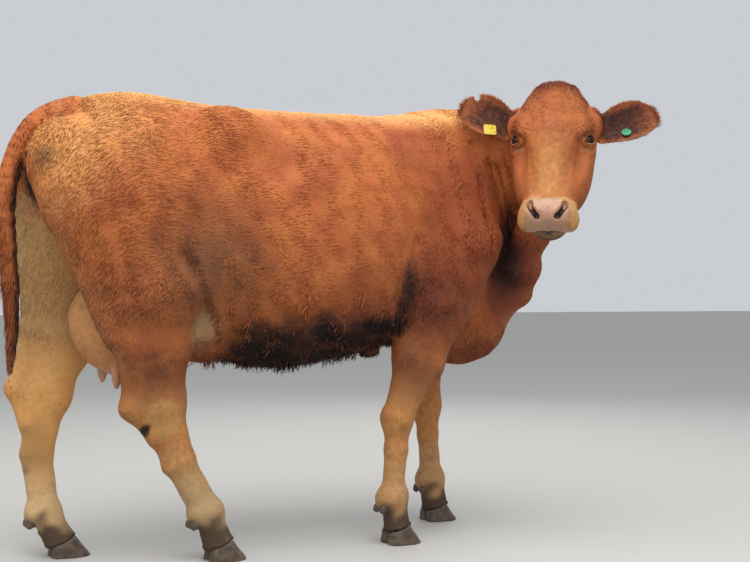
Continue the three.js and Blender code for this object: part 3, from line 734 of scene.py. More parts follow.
def head_relief() -> list[Fold]:
    """Folds of the face, in the head's frame."""
    def on_head(path: Sequence[Point], width: float, height: float, both: bool = True) -> Fold:
        """A fold in the head's frame."""
        return Fold(path, width, height, HEAD, both)

    return [
        on_head(NOSTRIL_PATH, 7.0, -17),
        on_head(((450, 68, 40), (474, 70, 34), (496, 52, 26)), 8, 4),
        on_head(((446, 44, 54), (464, 38, 54), (482, 26, 51)), 5, 3),
        on_head(MOUTH_PATH, 4, -7),
        on_head(((518, 0, -8), (512, 40, -9), (500, 66, -11), (478, 88, -14)), 8, 3),
        on_head(((516, 12, -34), (508, 38, -36), (494, 56, -40)), 8, 3),
        on_head(((470, 0, 56), (495, 0, 48), (512, 0, 22), (518, 0, 0)), 3, -2, False),
        on_head(((238, 94, 26), (262, 86, 28), (300, 84, 20)), 5, -3),
        on_head(((234, 92, 30), (222, 76, 50), (204, 64, 64)), 3.6, -2.6),
        on_head(((196, 74, 62), (184, 92, 54), (184, 112, 40)), 3, -2.2),
        on_head(((186, 68, 68), (172, 88, 58), (170, 112, 40)), 3, -1.8),
        on_head(((246, 84, 38), (236, 72, 52), (222, 62, 64)), 3, -1.6),
        on_head(((180, 96, 46), (188, 116, 34), (204, 130, 20)), 7, 3),
        on_head(((262, 100, -4), (310, 92, -12), (360, 78, -10)), 9, 3.5),
        on_head(((268, 64, 44), (330, 58, 42), (392, 52, 42)), 11, -3.5),
        on_head(((296, 100, -36), (326, 86, -78), (328, 60, -112)), 10, -3),
        on_head(((240, 30, 72), (320, 30, 60), (400, 26, 52)), 10, 1.6),
        on_head(((120, 22, 66), (180, 20, 76), (230, 18, 72)), 12, 1.5),
        on_head(((404, 0, 56), (432, 0, 56)), 9, -1.5, False),
    ]


NECK_CREASES = (
    ((500, -193, 1295), (520, -207, 1200), (532, -222, 1125), (543, -241, 1052), (553, -258, 959)),
    ((489, -274, 1318), (553, -225, 1222), (586, -214, 1150), (625, -193, 1082), (692, -117, 964)),
    ((515, -290, 1312), (587, -236, 1198), (623, -217, 1128), (666, -184, 1059), (690, -150, 985)),
    ((551, -292, 1315), (598, -253, 1221), (636, -234, 1150), (677, -204, 1083)),
)


def body_relief() -> list[Fold]:
    """Folds of the neck, shoulder, flank and quarters."""
    made = [Fold(path, 9, -15 + i, both=False) for i, path in enumerate(NECK_CREASES)]
    made += [
        Fold(((396, -196, 1290), (403, -236, 1150), (424, -262, 1004), (450, -263, 876)), 24, -6),
        Fold(((420, -150, 1350), (444, -232, 1190), (474, -256, 1050)), 30, 5),
        Fold(((262, -286, 960), (226, -296, 860), (196, -284, 775), (206, -196, 668)), 24, -11),
        Fold(((-500, -268, 905), (-448, -240, 800), (-400, -190, 690)), 20, -9),
        Fold(((-452, -262, 900), (-404, -236, 800), (-350, -180, 690)), 20, 6),
        Fold(((-720, -236, 1160), (-704, -262, 1000), (-650, -246, 800)), 26, -5),
        Fold(((-742, -66, 1348), (-800, -64, 1300), (-838, -56, 1225)), 14, -5),
        Fold(((-300, -140, 1368), (-100, -150, 1366), (150, -150, 1372)), 50, -3),
        Fold(((-345, -250, 1270), (-420, -262, 1180), (-470, -262, 1080)), 34, 4),
        Fold(((536, -150, 470), (546, -150, 620)), 16, 3),
    ]
    for i in range(5):
        x = -150 + 88 * i
        rib = ((x + 40, -250, 1270), (x + 10, -330, 1080), (x - 6, -340, 930), (x + 24, -300, 780))
        made.append(Fold(rib, 24, 1.0))
    return made


# ---- Mesh helpers -----------------------------------------------------------------------------------
def coordinates(mesh: bpy.types.Mesh) -> Array:
    """The vertices of a mesh, one row each."""
    flat = np.empty(len(mesh.vertices) * 3)
    mesh.vertices.foreach_get("co", flat)
    return flat.reshape(-1, 3)


def set_coordinates(mesh: bpy.types.Mesh, points: Array) -> None:
    """Moves the vertices of a mesh."""
    mesh.vertices.foreach_set("co", np.ascontiguousarray(points, float).ravel())
    mesh.update()


def edge_pairs(mesh: bpy.types.Mesh) -> Array:
    """The two vertex numbers of each edge."""
    flat = np.empty(len(mesh.edges) * 2, np.int32)
    mesh.edges.foreach_get("vertices", flat)
    return flat.reshape(-1, 2)


def vertex_normals(mesh: bpy.types.Mesh) -> Array:
    """The smooth normal at each vertex."""
    flat = np.empty(len(mesh.vertices) * 3)
    mesh.vertex_normals.foreach_get("vector", flat)
    return flat.reshape(-1, 3)


def relaxed(points: Array, edges: Array, amount: Array | float) -> Array:
    """The points moved by amount towards the middle of their neighbours."""
    a, b = edges[:, 0], edges[:, 1]
    count = np.bincount(a, minlength=len(points)) + np.bincount(b, minlength=len(points))
    total = np.stack([
        np.bincount(a, weights=points[b, k], minlength=len(points))
        + np.bincount(b, weights=points[a, k], minlength=len(points))
        for k in range(3)
    ], axis=1)
    share = amount[:, None] if isinstance(amount, np.ndarray) else amount
    return points + (total / np.maximum(count, 1)[:, None] - points) * share


def new_piece(name: str, mesh: bpy.types.Mesh, material: bpy.types.Material) -> bpy.types.Object:
    """Puts a finished mesh in the scene as a piece that rides on the body.

    Args:
        name: the piece's name.
        mesh: its mesh, already in place.
        material: its finish.

    Returns:
        The new object.
    """
    piece = bpy.data.objects.new(name, mesh)
    bpy.context.scene.collection.objects.link(piece)
    mesh.materials.clear()
    mesh.materials.append(material)
    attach(piece, "root")
    log.info("%s: %d faces", name, len(mesh.polygons))
    return piece


def from_bmesh(name: str, bm: bmesh.types.BMesh, smooth: bool = True) -> bpy.types.Mesh:
    """Turns a bmesh into a mesh and frees it."""
    mesh = bpy.data.meshes.new(name)
    bm.to_mesh(mesh)
    bm.free()
    if smooth:
        mesh.shade_smooth()
    else:
        mesh.shade_flat()
    return mesh


def evaluated(mesh: bpy.types.Mesh, kind: str, **settings: object) -> bpy.types.Mesh:
    """The mesh after one modifier.

    Args:
        mesh: the mesh to start from, which is removed.
        kind: the modifier's type.
        settings: its settings; a mesh given as object is wrapped in a passing object.

    Returns:
        A new mesh.
    """
    carrier = bpy.data.objects.new("carrier", mesh)
    bpy.context.scene.collection.objects.link(carrier)
    tool = None
    modifier = carrier.modifiers.new(kind.lower(), kind)
    for name, value in settings.items():
        if isinstance(value, bpy.types.Mesh):
            tool = value = bpy.data.objects.new("tool", value)
            bpy.context.scene.collection.objects.link(tool)
        setattr(modifier, name, value)
    graph = bpy.context.evaluated_depsgraph_get()
    made = bpy.data.meshes.new_from_object(carrier.evaluated_get(graph), depsgraph=graph)
    for spent in filter(None, (carrier, tool)):
        data = spent.data
        bpy.data.objects.remove(spent)
        bpy.data.meshes.remove(data)
    return made


# ---- The skin ---------------------------------------------------------------------------------------
FLESH_NODES = tuple(
    name for name in frame["nodes"]
    if not any(word in name for word in ("claw", "eye_", "tag", "switch"))
)
CORE_NODES = tuple(name for name in FLESH_NODES if not name.startswith("ear_"))


@dataclass
class Skin:
    """The whole hide in one mesh, from the muzzle to the coronets."""

    anatomy: Anatomy
    voxel: float = 11.5
    inset_ear: float = 6.0

    def build(self) -> bpy.types.Mesh:
        """Makes the hide, and keeps each vertex's place, slope and regions for the coat."""
        mesh = self._core()
        self._settle(mesh, rounds=4, smooth=0.5)
        mesh = self._refined(mesh, self._on_head)
        self._settle(mesh, rounds=2, smooth=0.35)
        mesh = self._refined(mesh, self._on_features)
        self._settle(mesh, rounds=2, smooth=0.2)
        mesh = self._refined(mesh, self._on_folds)
        self._carve(mesh)
        for ear in EARS:
            mesh = evaluated(mesh, "BOOLEAN", object=self._leaf(ear), operation="UNION", solver="MANIFOLD")
        for tip in TEAT_TIPS:
            mesh = evaluated(mesh, "BOOLEAN", object=self._teat(tip), operation="UNION", solver="MANIFOLD")
        for eye in EYES:
            mesh = evaluated(mesh, "BOOLEAN", object=self._rim(eye), operation="UNION", solver="MANIFOLD")
        self._soften_joins(mesh)
        mesh.shade_smooth()
        self._read(mesh)
        return mesh

    def _core(self) -> bpy.types.Mesh:
        """Merged copies of the solids' flesh, as one even mesh."""
        bm = bmesh.new()
        for name in CORE_NODES:
            bm.from_mesh(frame["nodes"][name].data)
        bmesh.ops.remove_doubles(bm, verts=bm.verts[:], dist=1e-5)
        mesh = from_bmesh("flesh", bm)
        mesh = evaluated(mesh, "REMESH", mode="VOXEL", voxel_size=self.voxel * MM)
        bm = bmesh.new()
        bm.from_mesh(mesh)
        self._keep_largest(bm)
        bm.to_mesh(mesh)
        bm.free()
        return mesh

    @staticmethod
    def _keep_largest(bm: bmesh.types.BMesh) -> None:
        """Drops every shell but the largest."""
        left = set(bm.verts)
        shells = []
        while left:
            queue = [left.pop()]
            shell = list(queue)
            while queue:
                for edge in queue.pop().link_edges:
                    for vert in edge.verts:
                        if vert in left:
                            left.remove(vert)
                            queue.append(vert)
                            shell.append(vert)
            shells.append(shell)
        shells.sort(key=len)
        for shell in shells[:-1]:
            bmesh.ops.delete(bm, geom=shell, context="VERTS")

    @staticmethod
    def _on_head(p: Array) -> Array:
        """True for body points on the head."""
        own = HEAD.into(p)
        return (own[:, 0] > -20) & (own[:, 0] < 540) & (np.abs(own[:, 1]) < 150) & (own[:, 2] > -115)

    @staticmethod
    def _on_features(p: Array) -> Array:
        """True for body points round the eyes, nose and mouth."""
        own = HEAD.into(p)
        muzzle = (own[:, 0] > 425) & (own[:, 0] < 545) & (np.abs(own[:, 1]) < 120) & (np.abs(own[:, 2]) < 80)
        eye = np.min([np.linalg.norm(own - (216, s * 112, 24), axis=1) for s in BOTH], axis=0) < 50
        return muzzle | eye

    @staticmethod
    def _on_folds(p: Array) -> Array:
        """True for body points on the folded side of the neck."""
        low, high = np.array([430, -330, 930]), np.array([720, -110, 1370])
        off_head = np.linalg.norm(HEAD.into(p) - (200, 0, 0), axis=1) > 230
        return ((p > low) & (p < high)).all(axis=1) & off_head

    @staticmethod
    def _refined(mesh: bpy.types.Mesh, chosen: Callable[[Array], Array]) -> bpy.types.Mesh:
        """Halves the faces whose middle is chosen."""
        bm = bmesh.new()
        bm.from_mesh(mesh)
        faces = bm.faces[:]
        middles = to_body(np.array([f.calc_center_median() for f in faces]))
        picked = chosen(middles)
        edges = list({edge for face, pick in zip(faces, picked) if pick for edge in face.edges})
        bmesh.ops.subdivide_edges(bm, edges=edges, cuts=1, use_grid_fill=True)
        bmesh.ops.triangulate(bm, faces=[f for f in bm.faces if len(f.verts) > 4])
        bm.to_mesh(mesh)
        bm.free()
        return mesh

    def depth(self, points: Array, share: Array, slope: Array) -> Array:
        """How far the skin lies under the tips of the coat, in mm."""
        by_region = np.array([3.8, 3.5, 3.5, 3.0, 3.0, 3.8, 3.5, 2.0, 1.0, 2.0])
        depth = share @ by_region
        leg = share[:, Region.HIND_RIGHT.value:Region.FORE_LEFT.value + 1].sum(axis=1)
        low = np.interp(points[:, 2], (0, 150, 450, 650, 900), (1.5, 2.0, 2.4, 3.2, 3.8))
        depth = depth * (1 - leg) + low * leg
        along = smoothstep(-380, -260, points[:, 0]) * smoothstep(420, 300, points[:, 0])
        under = smoothstep(-0.5, -0.9, slope[:, 2]) * share[:, Region.TRUNK.value]
        own = HEAD.into(points)
        poll = share[:, Region.HEAD.value] * smoothstep(110, 20, own[:, 0]) * smoothstep(-30, 30, own[:, 2])
        muzzle = share[:, Region.HEAD.value] * smoothstep(390, 440, own[:, 0])
        return depth + under * along * 11 + poll * 5 - muzzle * 1.2

    def _settle(self, mesh: bpy.types.Mesh, rounds: int, smooth: float) -> None:
        """Draws the vertices onto the flesh, less the depth of the coat, and evens them out."""
        edges = edge_pairs(mesh)
        points = to_body(coordinates(mesh))
        for _ in range(rounds):
            points = relaxed(points, edges, smooth)
            distance, share = self.anatomy.survey(points)
            slope = self.anatomy.slope(points)
            step = distance + self.depth(points, share, slope)
            points = points - slope * np.clip(step, -25, 25)[:, None]
        set_coordinates(mesh, to_model(points))

    def _carve(self, mesh: bpy.types.Mesh) -> None:
        """Works the folds and the lids into the skin."""
        points = to_body(coordinates(mesh))
        slope = vertex_normals(mesh)
        lift = sum(fold.lift(points) for fold in (*head_relief(), *body_relief()))
        curls = smooth_noise(points, 42, 5) * 1.3 + smooth_noise(points, 110, 6) * 1.6
        own = HEAD.into(points)
        calm = 1 - 0.8 * self._on_head(points)
        # At the coronet the skin runs a little way down inside the horn.
        coronet = 8 * (points[:, 2] < 80) * smoothstep(-0.1, -0.6, slope[:, 2])
        points = points + slope * (lift + curls * calm + coronet)[:, None]
        edges = edge_pairs(mesh)
        points = relaxed(points, edges, 0.25 * (own[:, 0] < 400))
        for eye in EYES:
            points = eye.shape(points)
        set_coordinates(mesh, to_model(points))

    def _leaf(self, ear: Ear) -> bpy.types.Mesh:
        """The skin of one ear as a closed leaf."""
        bm = bmesh.new()
        bmesh.ops.create_uvsphere(bm, u_segments=44, v_segments=40, radius=1)
        ball = np.array([v.co for v in bm.verts])
        placed = to_model(ear.place(ball[:, 0], ball[:, 2], -ball[:, 1], self.inset_ear))
        for vert, co in zip(bm.verts, placed):
            vert.co = co
        mesh = from_bmesh(ear.name + "_leaf", bm)
        if not ear.notched:
            return mesh
        bm = bmesh.new()
        bmesh.ops.create_cone(bm, cap_ends=True, segments=16, radius1=11, radius2=11, depth=120)
        punch = np.array([v.co for v in bm.verts]) + (46, 168, 0)
        for vert, co in zip(bm.verts, to_model(ear.axes.out(punch))):
            vert.co = co
        tool = from_bmesh("notch", bm)
        return evaluated(mesh, "BOOLEAN", object=tool, operation="DIFFERENCE", solver="MANIFOLD")

    @staticmethod
    def _teat(tip: Point) -> bpy.types.Mesh:
        """One teat: a plump peg, a little waisted, with its top inside the udder."""
        bm = bmesh.new()
        bmesh.ops.create_uvsphere(bm, u_segments=20, v_segments=16, radius=1)
        ball = np.array([v.co for v in bm.verts])
        waist = 15.5 + 8.0 * smoothstep(0.0, 1.0, ball[:, 2]) + 0.6 * np.sin(ball[:, 2] * 9)
        placed = np.stack([ball[:, 0] * waist, ball[:, 1] * waist, 52 + ball[:, 2] * 52], axis=1) + tip
        for vert, co in zip(bm.verts, to_model(placed)):
            vert.co = co
        return from_bmesh("teat", bm)

    @staticmethod
    def _rim(eye: EyeSocket) -> bpy.types.Mesh:
        """The rounded edge of the lids, as a closed ring."""
        steps, sides = 48, 8
        bm = bmesh.new()
        ring = bmesh.ops.create_circle(bm, segments=sides, radius=1, matrix=Matrix.Translation((10, 0, 0))
                                       @ Matrix.Rotation(math.pi / 2, 4, "X"))
        bmesh.ops.spin(bm, geom=ring["verts"] + list({e for v in ring["verts"] for e in v.link_edges}),
                       axis=(0, 0, 1), cent=(0, 0, 0), steps=steps, angle=2 * math.pi, use_merge=True)
        bmesh.ops.recalc_face_normals(bm, faces=bm.faces[:])
        path = eye.axes.into(eye.rim(steps))
        for vert in bm.verts:
            turn = round(math.atan2(vert.co.y, vert.co.x) / (2 * math.pi) * steps) % steps
            away, rise = math.hypot(vert.co.x, vert.co.y) - 10, vert.co.z
            at = path[turn]
            outward = unit(at * np.array([1, 1, 0]))
            corner = abs(at[0]) / eye.half_width
            size = 2.7 - 0.9 * corner**4 + (0.5 if at[1] > 0 else 0)
            vert.co = to_model(eye.axes.out(at + outward * (away * size + 1.4) + unit(at) * rise * size))
        return from_bmesh("lid_rim", bm)

    @staticmethod
    def _soften_joins(mesh: bpy.types.Mesh) -> None:
        """Smooths the skin where the ears and the rims of the lids meet the head."""
        points = to_body(coordinates(mesh))
        edges = edge_pairs(mesh)
        amount = np.zeros(len(points))
        for ear in EARS:
            own = ear.axes.into(points)
            amount = np.maximum(amount, 0.5 * smoothstep(92, 50, np.linalg.norm(own - (0, 22, 0), axis=1)))
        for _ in range(6):
            points = relaxed(points, edges, amount)
        for eye in EYES:
            own = eye.axes.into(points)
            away = np.linalg.norm(own[:, :2] * (1, 1.4), axis=1)
            near = (own[:, 2] > 0) & (np.linalg.norm(own, axis=1) < 45)
            lid = 0.45 * near * smoothstep(17, 22, away) * smoothstep(34, 28, away)
            points = relaxed(points, edges, lid)
        set_coordinates(mesh, to_model(points))

    def _read(self, mesh: bpy.types.Mesh) -> None:
        """Keeps what the coat and the markings need to know of each vertex."""
        self.points = to_body(coordinates(mesh))
        self.slope = vertex_normals(mesh)
        _, self.share = self.anatomy.survey(self.points)
        self.ear = np.zeros(len(self.points))
        self.ear_hollow = np.zeros(len(self.points))
        for ear in EARS:
            own = ear.axes.into(self.points)
            off = own[:, 2] - ear.cup(own[:, 0]) + 16 * np.clip(1 - own[:, 1] / ear.length, 0, 1) ** 2
            leaf = (np.abs(off) < 26) & (own[:, 1] > 8) & (own[:, 1] < 215) & (np.abs(own[:, 0]) < 95)
            leaf &= np.linalg.norm(HEAD.into(self.points)[:, 1:2], axis=1) > 118
            self.ear = np.maximum(self.ear, leaf * smoothstep(8, 40, own[:, 1]))
            inside = smoothstep(0.0, 0.5, self.slope @ ear.axes.rows[2]) * leaf
            inside = inside * smoothstep(14, 34, own[:, 1])
            inside = inside * smoothstep(1.0, 0.45, np.abs(own[:, 0]) / (ear.width / 2))
            inside = inside * (1 - 0.55 * smoothstep(0.55, 0.95, own[:, 1] / ear.length))
            self.ear_hollow = np.maximum(self.ear_hollow, inside)


# ---- Markings: one reading of the coat's colours for skin and hair ------------------------------------
@dataclass
class Markings:
    """Where the coat is red, golden, pale, dark, muddy or bare. The dark and muddy marks also hold painted
    shade, and two pale lines hold painted highlights.
    """

    eyes: Sequence[EyeSocket] = EYES

    def read(self, p: Array, slope: Array, share: Array, ear: Array, hollow: Array) -> tuple[Array, Array]:
        """Reads the markings at points of the skin.

        Args:
            p: body positions in mm.
            slope: the skin's outward direction there.
            share: how far each point belongs to each region.
            ear: 1 on the ears.
            hollow: 1 on the hollow side of the ears.

        Returns:
            Two sets of colours: red, golden, pale and 1; and dark, muddy, bare and 1.
        """
        tone = np.stack([self._red(p), self._gold(p, share), self._pale(p, slope, share)], axis=1)
        soil_and_shade = np.stack([self._dark(p, slope, share), self._mud_and_shade(p, share), self._bare(p, share)], axis=1)
        off_ear = (1 - ear)[:, None]
        tone, soil_and_shade = tone * off_ear, soil_and_shade * off_ear
        tone[:, 0] += 0.35 * ear + 0.25 * hollow
        soil_and_shade[:, 0] += 0.52 * hollow + 0.16 * ear * (hollow > 0.02)
        ones = np.ones((len(p), 1))
        return np.hstack([np.clip(tone, 0, 1), ones]), np.hstack([np.clip(soil_and_shade, 0, 1), ones])

    @staticmethod
    def _most(p: Array, patches: Sequence[Patch]) -> Array:
        """The strongest cover of several patches."""
        return np.max([patch.cover(p) for patch in patches], axis=0)

    def _red(self, p: Array) -> Array:
        """Deep red on the shoulder, neck, poll and low on the ribs."""
        return self._most(p, (
            Patch((450, 240, 1010), (190, 150, 290), 0.66),
            Patch((300, 220, 1250), (170, 120, 90), 0.5),
            Patch((670, -120, 920), (110, 180, 220), 0.95, both=False),
            Patch((20, 0, 44), (34, 90, 60), 1.0, frame=HEAD),
            Patch((160, 310, 800), (260, 160, 130), 0.35),
            Patch((-120, 300, 1180), (170, 140, 120), 0.4),
            Patch((-230, 280, 1240), (70, 90, 70), 0.4),
            Patch((600, -120, 610), (90, 120, 50), 0.6, both=False),
            Patch((340, -250, 800), (150, 110, 150), 0.8, 1.2, both=False),
        ))

    def _gold(self, p: Array, share: Array) -> Array:
        """Golden along the back, the tail head and the bridge of the nose."""
        trunk = share[:, Region.TRUNK.value]
        top = smoothstep(1290, 1410, p[:, 2]) * trunk * 0.85
        quarters = smoothstep(-300, -760, p[:, 0]) * smoothstep(960, 1300, p[:, 2]) * trunk * 0.52
        legs = share[:, Region.HIND_RIGHT.value:Region.FORE_LEFT.value + 1].sum(axis=1)
        knees = legs * smoothstep(640, 430, p[:, 2]) * 0.55
        knees = np.maximum(knees, share[:, Region.HIND_LEFT.value] * smoothstep(860, 660, p[:, 2]) * 0.85)
        rest = self._most(p, (
            Patch((320, 0, 50), (150, 60, 50), 0.5, 1.0, frame=HEAD),
            Patch((400, 0, 50), (60, 70, 50), 0.5, 0.9, frame=HEAD),
            Patch((-532, -190, 436), (64, 60, 62), 0.95, both=False),
            Patch((-820, 210, 1200), (150, 110, 190), 0.55, 1.0),
            Patch((-800, 0, 1345), (100, 90, 70), 0.25),
            Patch((-800, 110, 900), (120, 80, 340), 0.8, both=False),
        ))
        own = HEAD.into(p)
        muzzle = share[:, Region.HEAD.value] * smoothstep(415, 440, own[:, 0])
        muzzle = muzzle * smoothstep(56, 78, np.abs(own[:, 1])) * 0.7
        udder = share[:, Region.UDDER.value] * 0.55
        return np.maximum.reduce([top, quarters, knees, muzzle, udder, rest])

    def _pale(self, p: Array, slope: Array, share: Array) -> Array:
        """Cream on the lower legs, the insides of the thighs, the udder's front and round the muzzle."""
        hind = share[:, Region.HIND_RIGHT.value] + share[:, Region.HIND_LEFT.value]
        fore = share[:, Region.FORE_RIGHT.value] + share[:, Region.FORE_LEFT.value]
        cannon = np.clip(smoothstep(430, 180, p[:, 2] + 30 * smooth_noise(p, 60, 17)), 0, 1)
        pale = hind * cannon * (0.6 + 0.25 * smoothstep(300, 160, p[:, 2]))
        pale = pale + fore * smoothstep(400, 200, p[:, 2]) * 0.5
        rear = smoothstep(-560, -680, p[:, 0]) * smoothstep(1180, 1040, p[:, 2])
        for side in BOTH:
            inner = smoothstep(0.15, 0.6, -side * slope[:, 1]) * (p[:, 1] * side > 0)
            low = smoothstep(560, 700, p[:, 2]) * smoothstep(1130, 1010, p[:, 2]) * (p[:, 0] < -380)
            pale = np.maximum(pale, inner * low * 0.5)
            back = smoothstep(-0.3, -0.8, slope[:, 0]) * rear * (p[:, 1] * side > 20)
            back = back * smoothstep(560, 720, p[:, 2])
            pale = np.maximum(pale, back * (0.6 if side > 0 else 0.3))
        own = HEAD.into(p)
        head = share[:, Region.HEAD.value]
        line = 428 + 12 * np.abs(np.cos(own[:, 1] / 34))
        ring = head * smoothstep(line - 22, line + 12, own[:, 0])
        sides = smoothstep(56, 78, np.abs(own[:, 1]))
        pale = np.maximum(pale, ring * (0.66 - 0.3 * sides))
        # Painted highlights: pale lines along the rear edge of the near thigh and down the front of the near
        # foreleg.
        lines = [Fold(path, width, strength, both=False).lift(p) for path, width, strength in (
            (((-830, -85, 960), (-790, -80, 880), (-742, -70, 800), (-712, -130, 740), (-705, -190, 700),
              (-667, -200, 638), (-648, -185, 580)), 17, 0.42),
            (((499, -219, 780), (497, -190, 720), (450, -200, 650), (399, -212, 595), (350, -220, 552),
              (319, -210, 495)), 13, 0.4),
        )]
        return np.maximum.reduce([pale, *lines, self._most(p, (
            Patch((-341, 0, 671), (120, 130, 60), 0.7),
            Patch((-415, -175, 700), (56, 60, 60), 0.75, 1.0, both=False),
            Patch((-400, 60, 700), (110, 120, 90), 0.6),
            Patch((-820, 150, 580), (110, 90, 130), 0.3, both=False),
            Patch((234, 102, 16), (20, 22, 14), 0.5, 1.0, frame=HEAD),
        ))])

    def _dark(self, p: Array, slope: Array, share: Array) -> Array:
        """Near black: dark matted hair and painted shade under the belly; painted shade behind the elbow,
        beside the tail and in creases; the dark switch.
        """
        trunk = share[:, Region.TRUNK.value]
        # Under the belly and low on the ribs: dark matted hair, with painted shade on the faces that look
        # down.
        under = smoothstep(-0.1, -0.62, slope[:, 2]) * trunk
        along = smoothstep(-400, -240, p[:, 0]) * smoothstep(420, 200, p[:, 0])
        clots = 0.5 + 0.5 * np.clip(1.6 * smooth_noise(p, 52, 19), -1, 1)
        belly = under * along * smoothstep(800, 690, p[:, 2]) * (0.68 + 0.3 * clots)
        low_rib = smoothstep(780, 655, p[:, 2] + 40 * smooth_noise(p, 90, 41))
        low_rib = low_rib * along * trunk * (0.35 + 0.55 * clots)
        tail = share[:, Region.TAIL.value]
        # Painted shade on the side of the tail that faces the buttocks.
        inner = tail * smoothstep(-0.1, 0.6, slope[:, 0]) * smoothstep(1290, 1200, p[:, 2]) * 0.7
        rest_of_tail = tail * smoothstep(1260, 1060, p[:, 2]) * 0.24
        off_tail = 1 - tail
        # Dark rims of the lids, spread wider above as painted shade under the upper lid.
        rim = np.zeros(len(p))
        for eye in self.eyes:
            own = eye.axes.into(p)
            gape = eye.opening(own[:, 0], own[:, 1])
            upper = own[:, 1] > -2
            around = (own[:, 2] > 0) * (np.linalg.norm(own, axis=1) < 40)
            rim = np.maximum(rim, around * smoothstep(np.where(upper, 1.6, 1.16), 1.0, gape))
        # Painted shade in the nostrils, along the mouth, in the crease by the eye, in the creases of the neck
        # and in the grooves beside the tail.
        lines = np.zeros(len(p))
        for path, width, strength in (
            (NOSTRIL_PATH, 9.0, 1.5),
            (MOUTH_PATH, 6.0, 0.85),
            (((238, 92, 26), (228, 80, 44), (214, 70, 58)), 5.0, 0.5),
        ):
            lines = np.maximum(lines, Fold(path, width, strength, HEAD).lift(p))
        for path in NECK_CREASES:
            lines = np.maximum(lines, Fold(path, 9, 0.5, both=False).lift(p))
        beside_tail = Fold(((-790, -45, 1325), (-860, -40, 1265), (-910, -24, 1180)), 9, 0.7)
        lines = np.maximum(lines, beside_tail.lift(p))
        specks = share[:, Region.HEAD.value] * Patch((130, 0, 80), (110, 110, 60), frame=HEAD).cover(p)
        specks = specks * smoothstep(0.7, 1.6, smooth_noise(p, 9, 23)) * 0.4
        flecks = trunk * smoothstep(-480, -640, p[:, 0]) * smoothstep(1.3, 2.0, smooth_noise(p, 20, 29)) * 0.5
        # Under the tail: painted shade between the thighs, over the dark skin there.
        rear = off_tail * self._most(p, (
            Patch((-905, 0, 1100), (95, 44, 110), 0.9),
            Patch((-850, 0, 960), (110, 26, 170), 0.6),
        ))
        # Painted shade on the flanks, round and behind the near elbow, on the dewlap under the jaw, in the
        # crease between the udder and the far thigh and on the near gaskin; darker also low on the near
        # quarters, at the near hock, on the chin and on the poll.
        rest = self._most(p, (
            Patch((-330, -300, 880), (120, 120, 90), 0.3, 0.9),
            Patch((-640, -268, 1060), (220, 110, 190), 0.2, 0.9, both=False),
            Patch((330, -250, 770), (150, 110, 150), 0.5, 1.4, both=False),
            Patch((238, -290, 800), (44, 90, 110), 0.8, 0.9),
            Patch((668, -150, 940), (60, 90, 170), 0.8, 0.7, both=False),
            Patch((-583, -175, 402), (13, 50, 22), 0.85, both=False),
            Patch((-690, 60, 640), (60, 60, 90), 0.5, 1.0, both=False),
            Patch((-560, -200, 560), (110, 90, 110), 0.46, 1.2, both=False),
            Patch((496, 0, -58), (56, 66, 34), 0.7, 0.8, frame=HEAD),
            Patch((34, 0, 50), (24, 90, 50), 0.25, frame=HEAD),
        ))
        spots = np.maximum(specks, flecks)
        return np.maximum.reduce([belly, low_rib, inner, rest_of_tail, rear, rim, lines, spots, rest])

    def _mud_and_shade(self, p: Array, share: Array) -> Array:
        """Dried mud above the hooves, splashes up the legs, dull greyish hair on the chin, lips and pin, and
        painted shade in dull greyish brown on the flanks, thighs and gaskins.
        """
        legs = share[:, Region.HIND_RIGHT.value:Region.FORE_LEFT.value + 1].sum(axis=1)
        feet = legs * smoothstep(165, 70, p[:, 2] + 26 * smooth_noise(p, 40, 11))
        splashes = legs * smoothstep(640, 300, p[:, 2]) * smoothstep(0.3, 1.4, smooth_noise(p, 55, 37)) * 0.55
        lips = Fold(((516, 0, -26), (510, 40, -28), (494, 74, -30), (462, 90, -40)), 12, 0.5, HEAD).lift(p)
        chin = Patch((480, 0, -72), (46, 60, 26), 0.6, frame=HEAD).cover(p)
        pin = Patch((-869, -165, 1184), (40, 46, 34), 0.5, both=False).cover(p)
        # Painted shade in dull greyish brown on the flanks, thighs and gaskins; dull greyish brown also on
        # the near forearm, the far hind cannon and the chin.
        dull = self._most(p, (
            Patch((-420, -270, 880), (180, 110, 200), 0.62, 1.3),
            Patch((-640, -240, 780), (170, 100, 160), 0.34, 1.0),
            Patch((-560, -200, 570), (110, 90, 110), 0.36, 1.2),
            Patch((280, -210, 560), (100, 80, 120), 0.5, 1.0),
            Patch((-840, 120, 330), (60, 60, 90), 0.5, 1.0, both=False),
            Patch((480, 0, -70), (60, 70, 34), 0.8, frame=HEAD),
        ))
        return np.maximum.reduce([feet * 0.9, splashes, lips, chin, pin, dull])

    def _bare(self, p: Array, share: Array) -> Array:
        """Skin that shows through: nose, lips, the rims of the eyes, udder and teats."""
        own = HEAD.into(p)
        head = share[:, Region.HEAD.value]
        pad = np.linalg.norm((own[:, :2] - (482, 0)) / (42, 63), axis=1)
        pad = smoothstep(1.12, 0.94, pad) * (own[:, 2] > -6)
        lip = smoothstep(1.15, 0.85, np.linalg.norm((own - (508, 0, -4)) / (26, 84, 26), axis=1)) * 0.85
        rim = np.zeros(len(p))
        for eye in self.eyes:
            at = eye.axes.into(p)
            gape = eye.opening(at[:, 0], at[:, 1])
            around = (at[:, 2] > 0) * (np.linalg.norm(at, axis=1) < 40)
            rim = np.maximum(rim, around * smoothstep(1.6, 1.3, gape))
        udder = share[:, Region.UDDER.value] * (0.3 + 0.5 * smoothstep(590, 550, p[:, 2]))
        return np.maximum.reduce([head * np.maximum(pad, lip), rim * 0.5, udder])

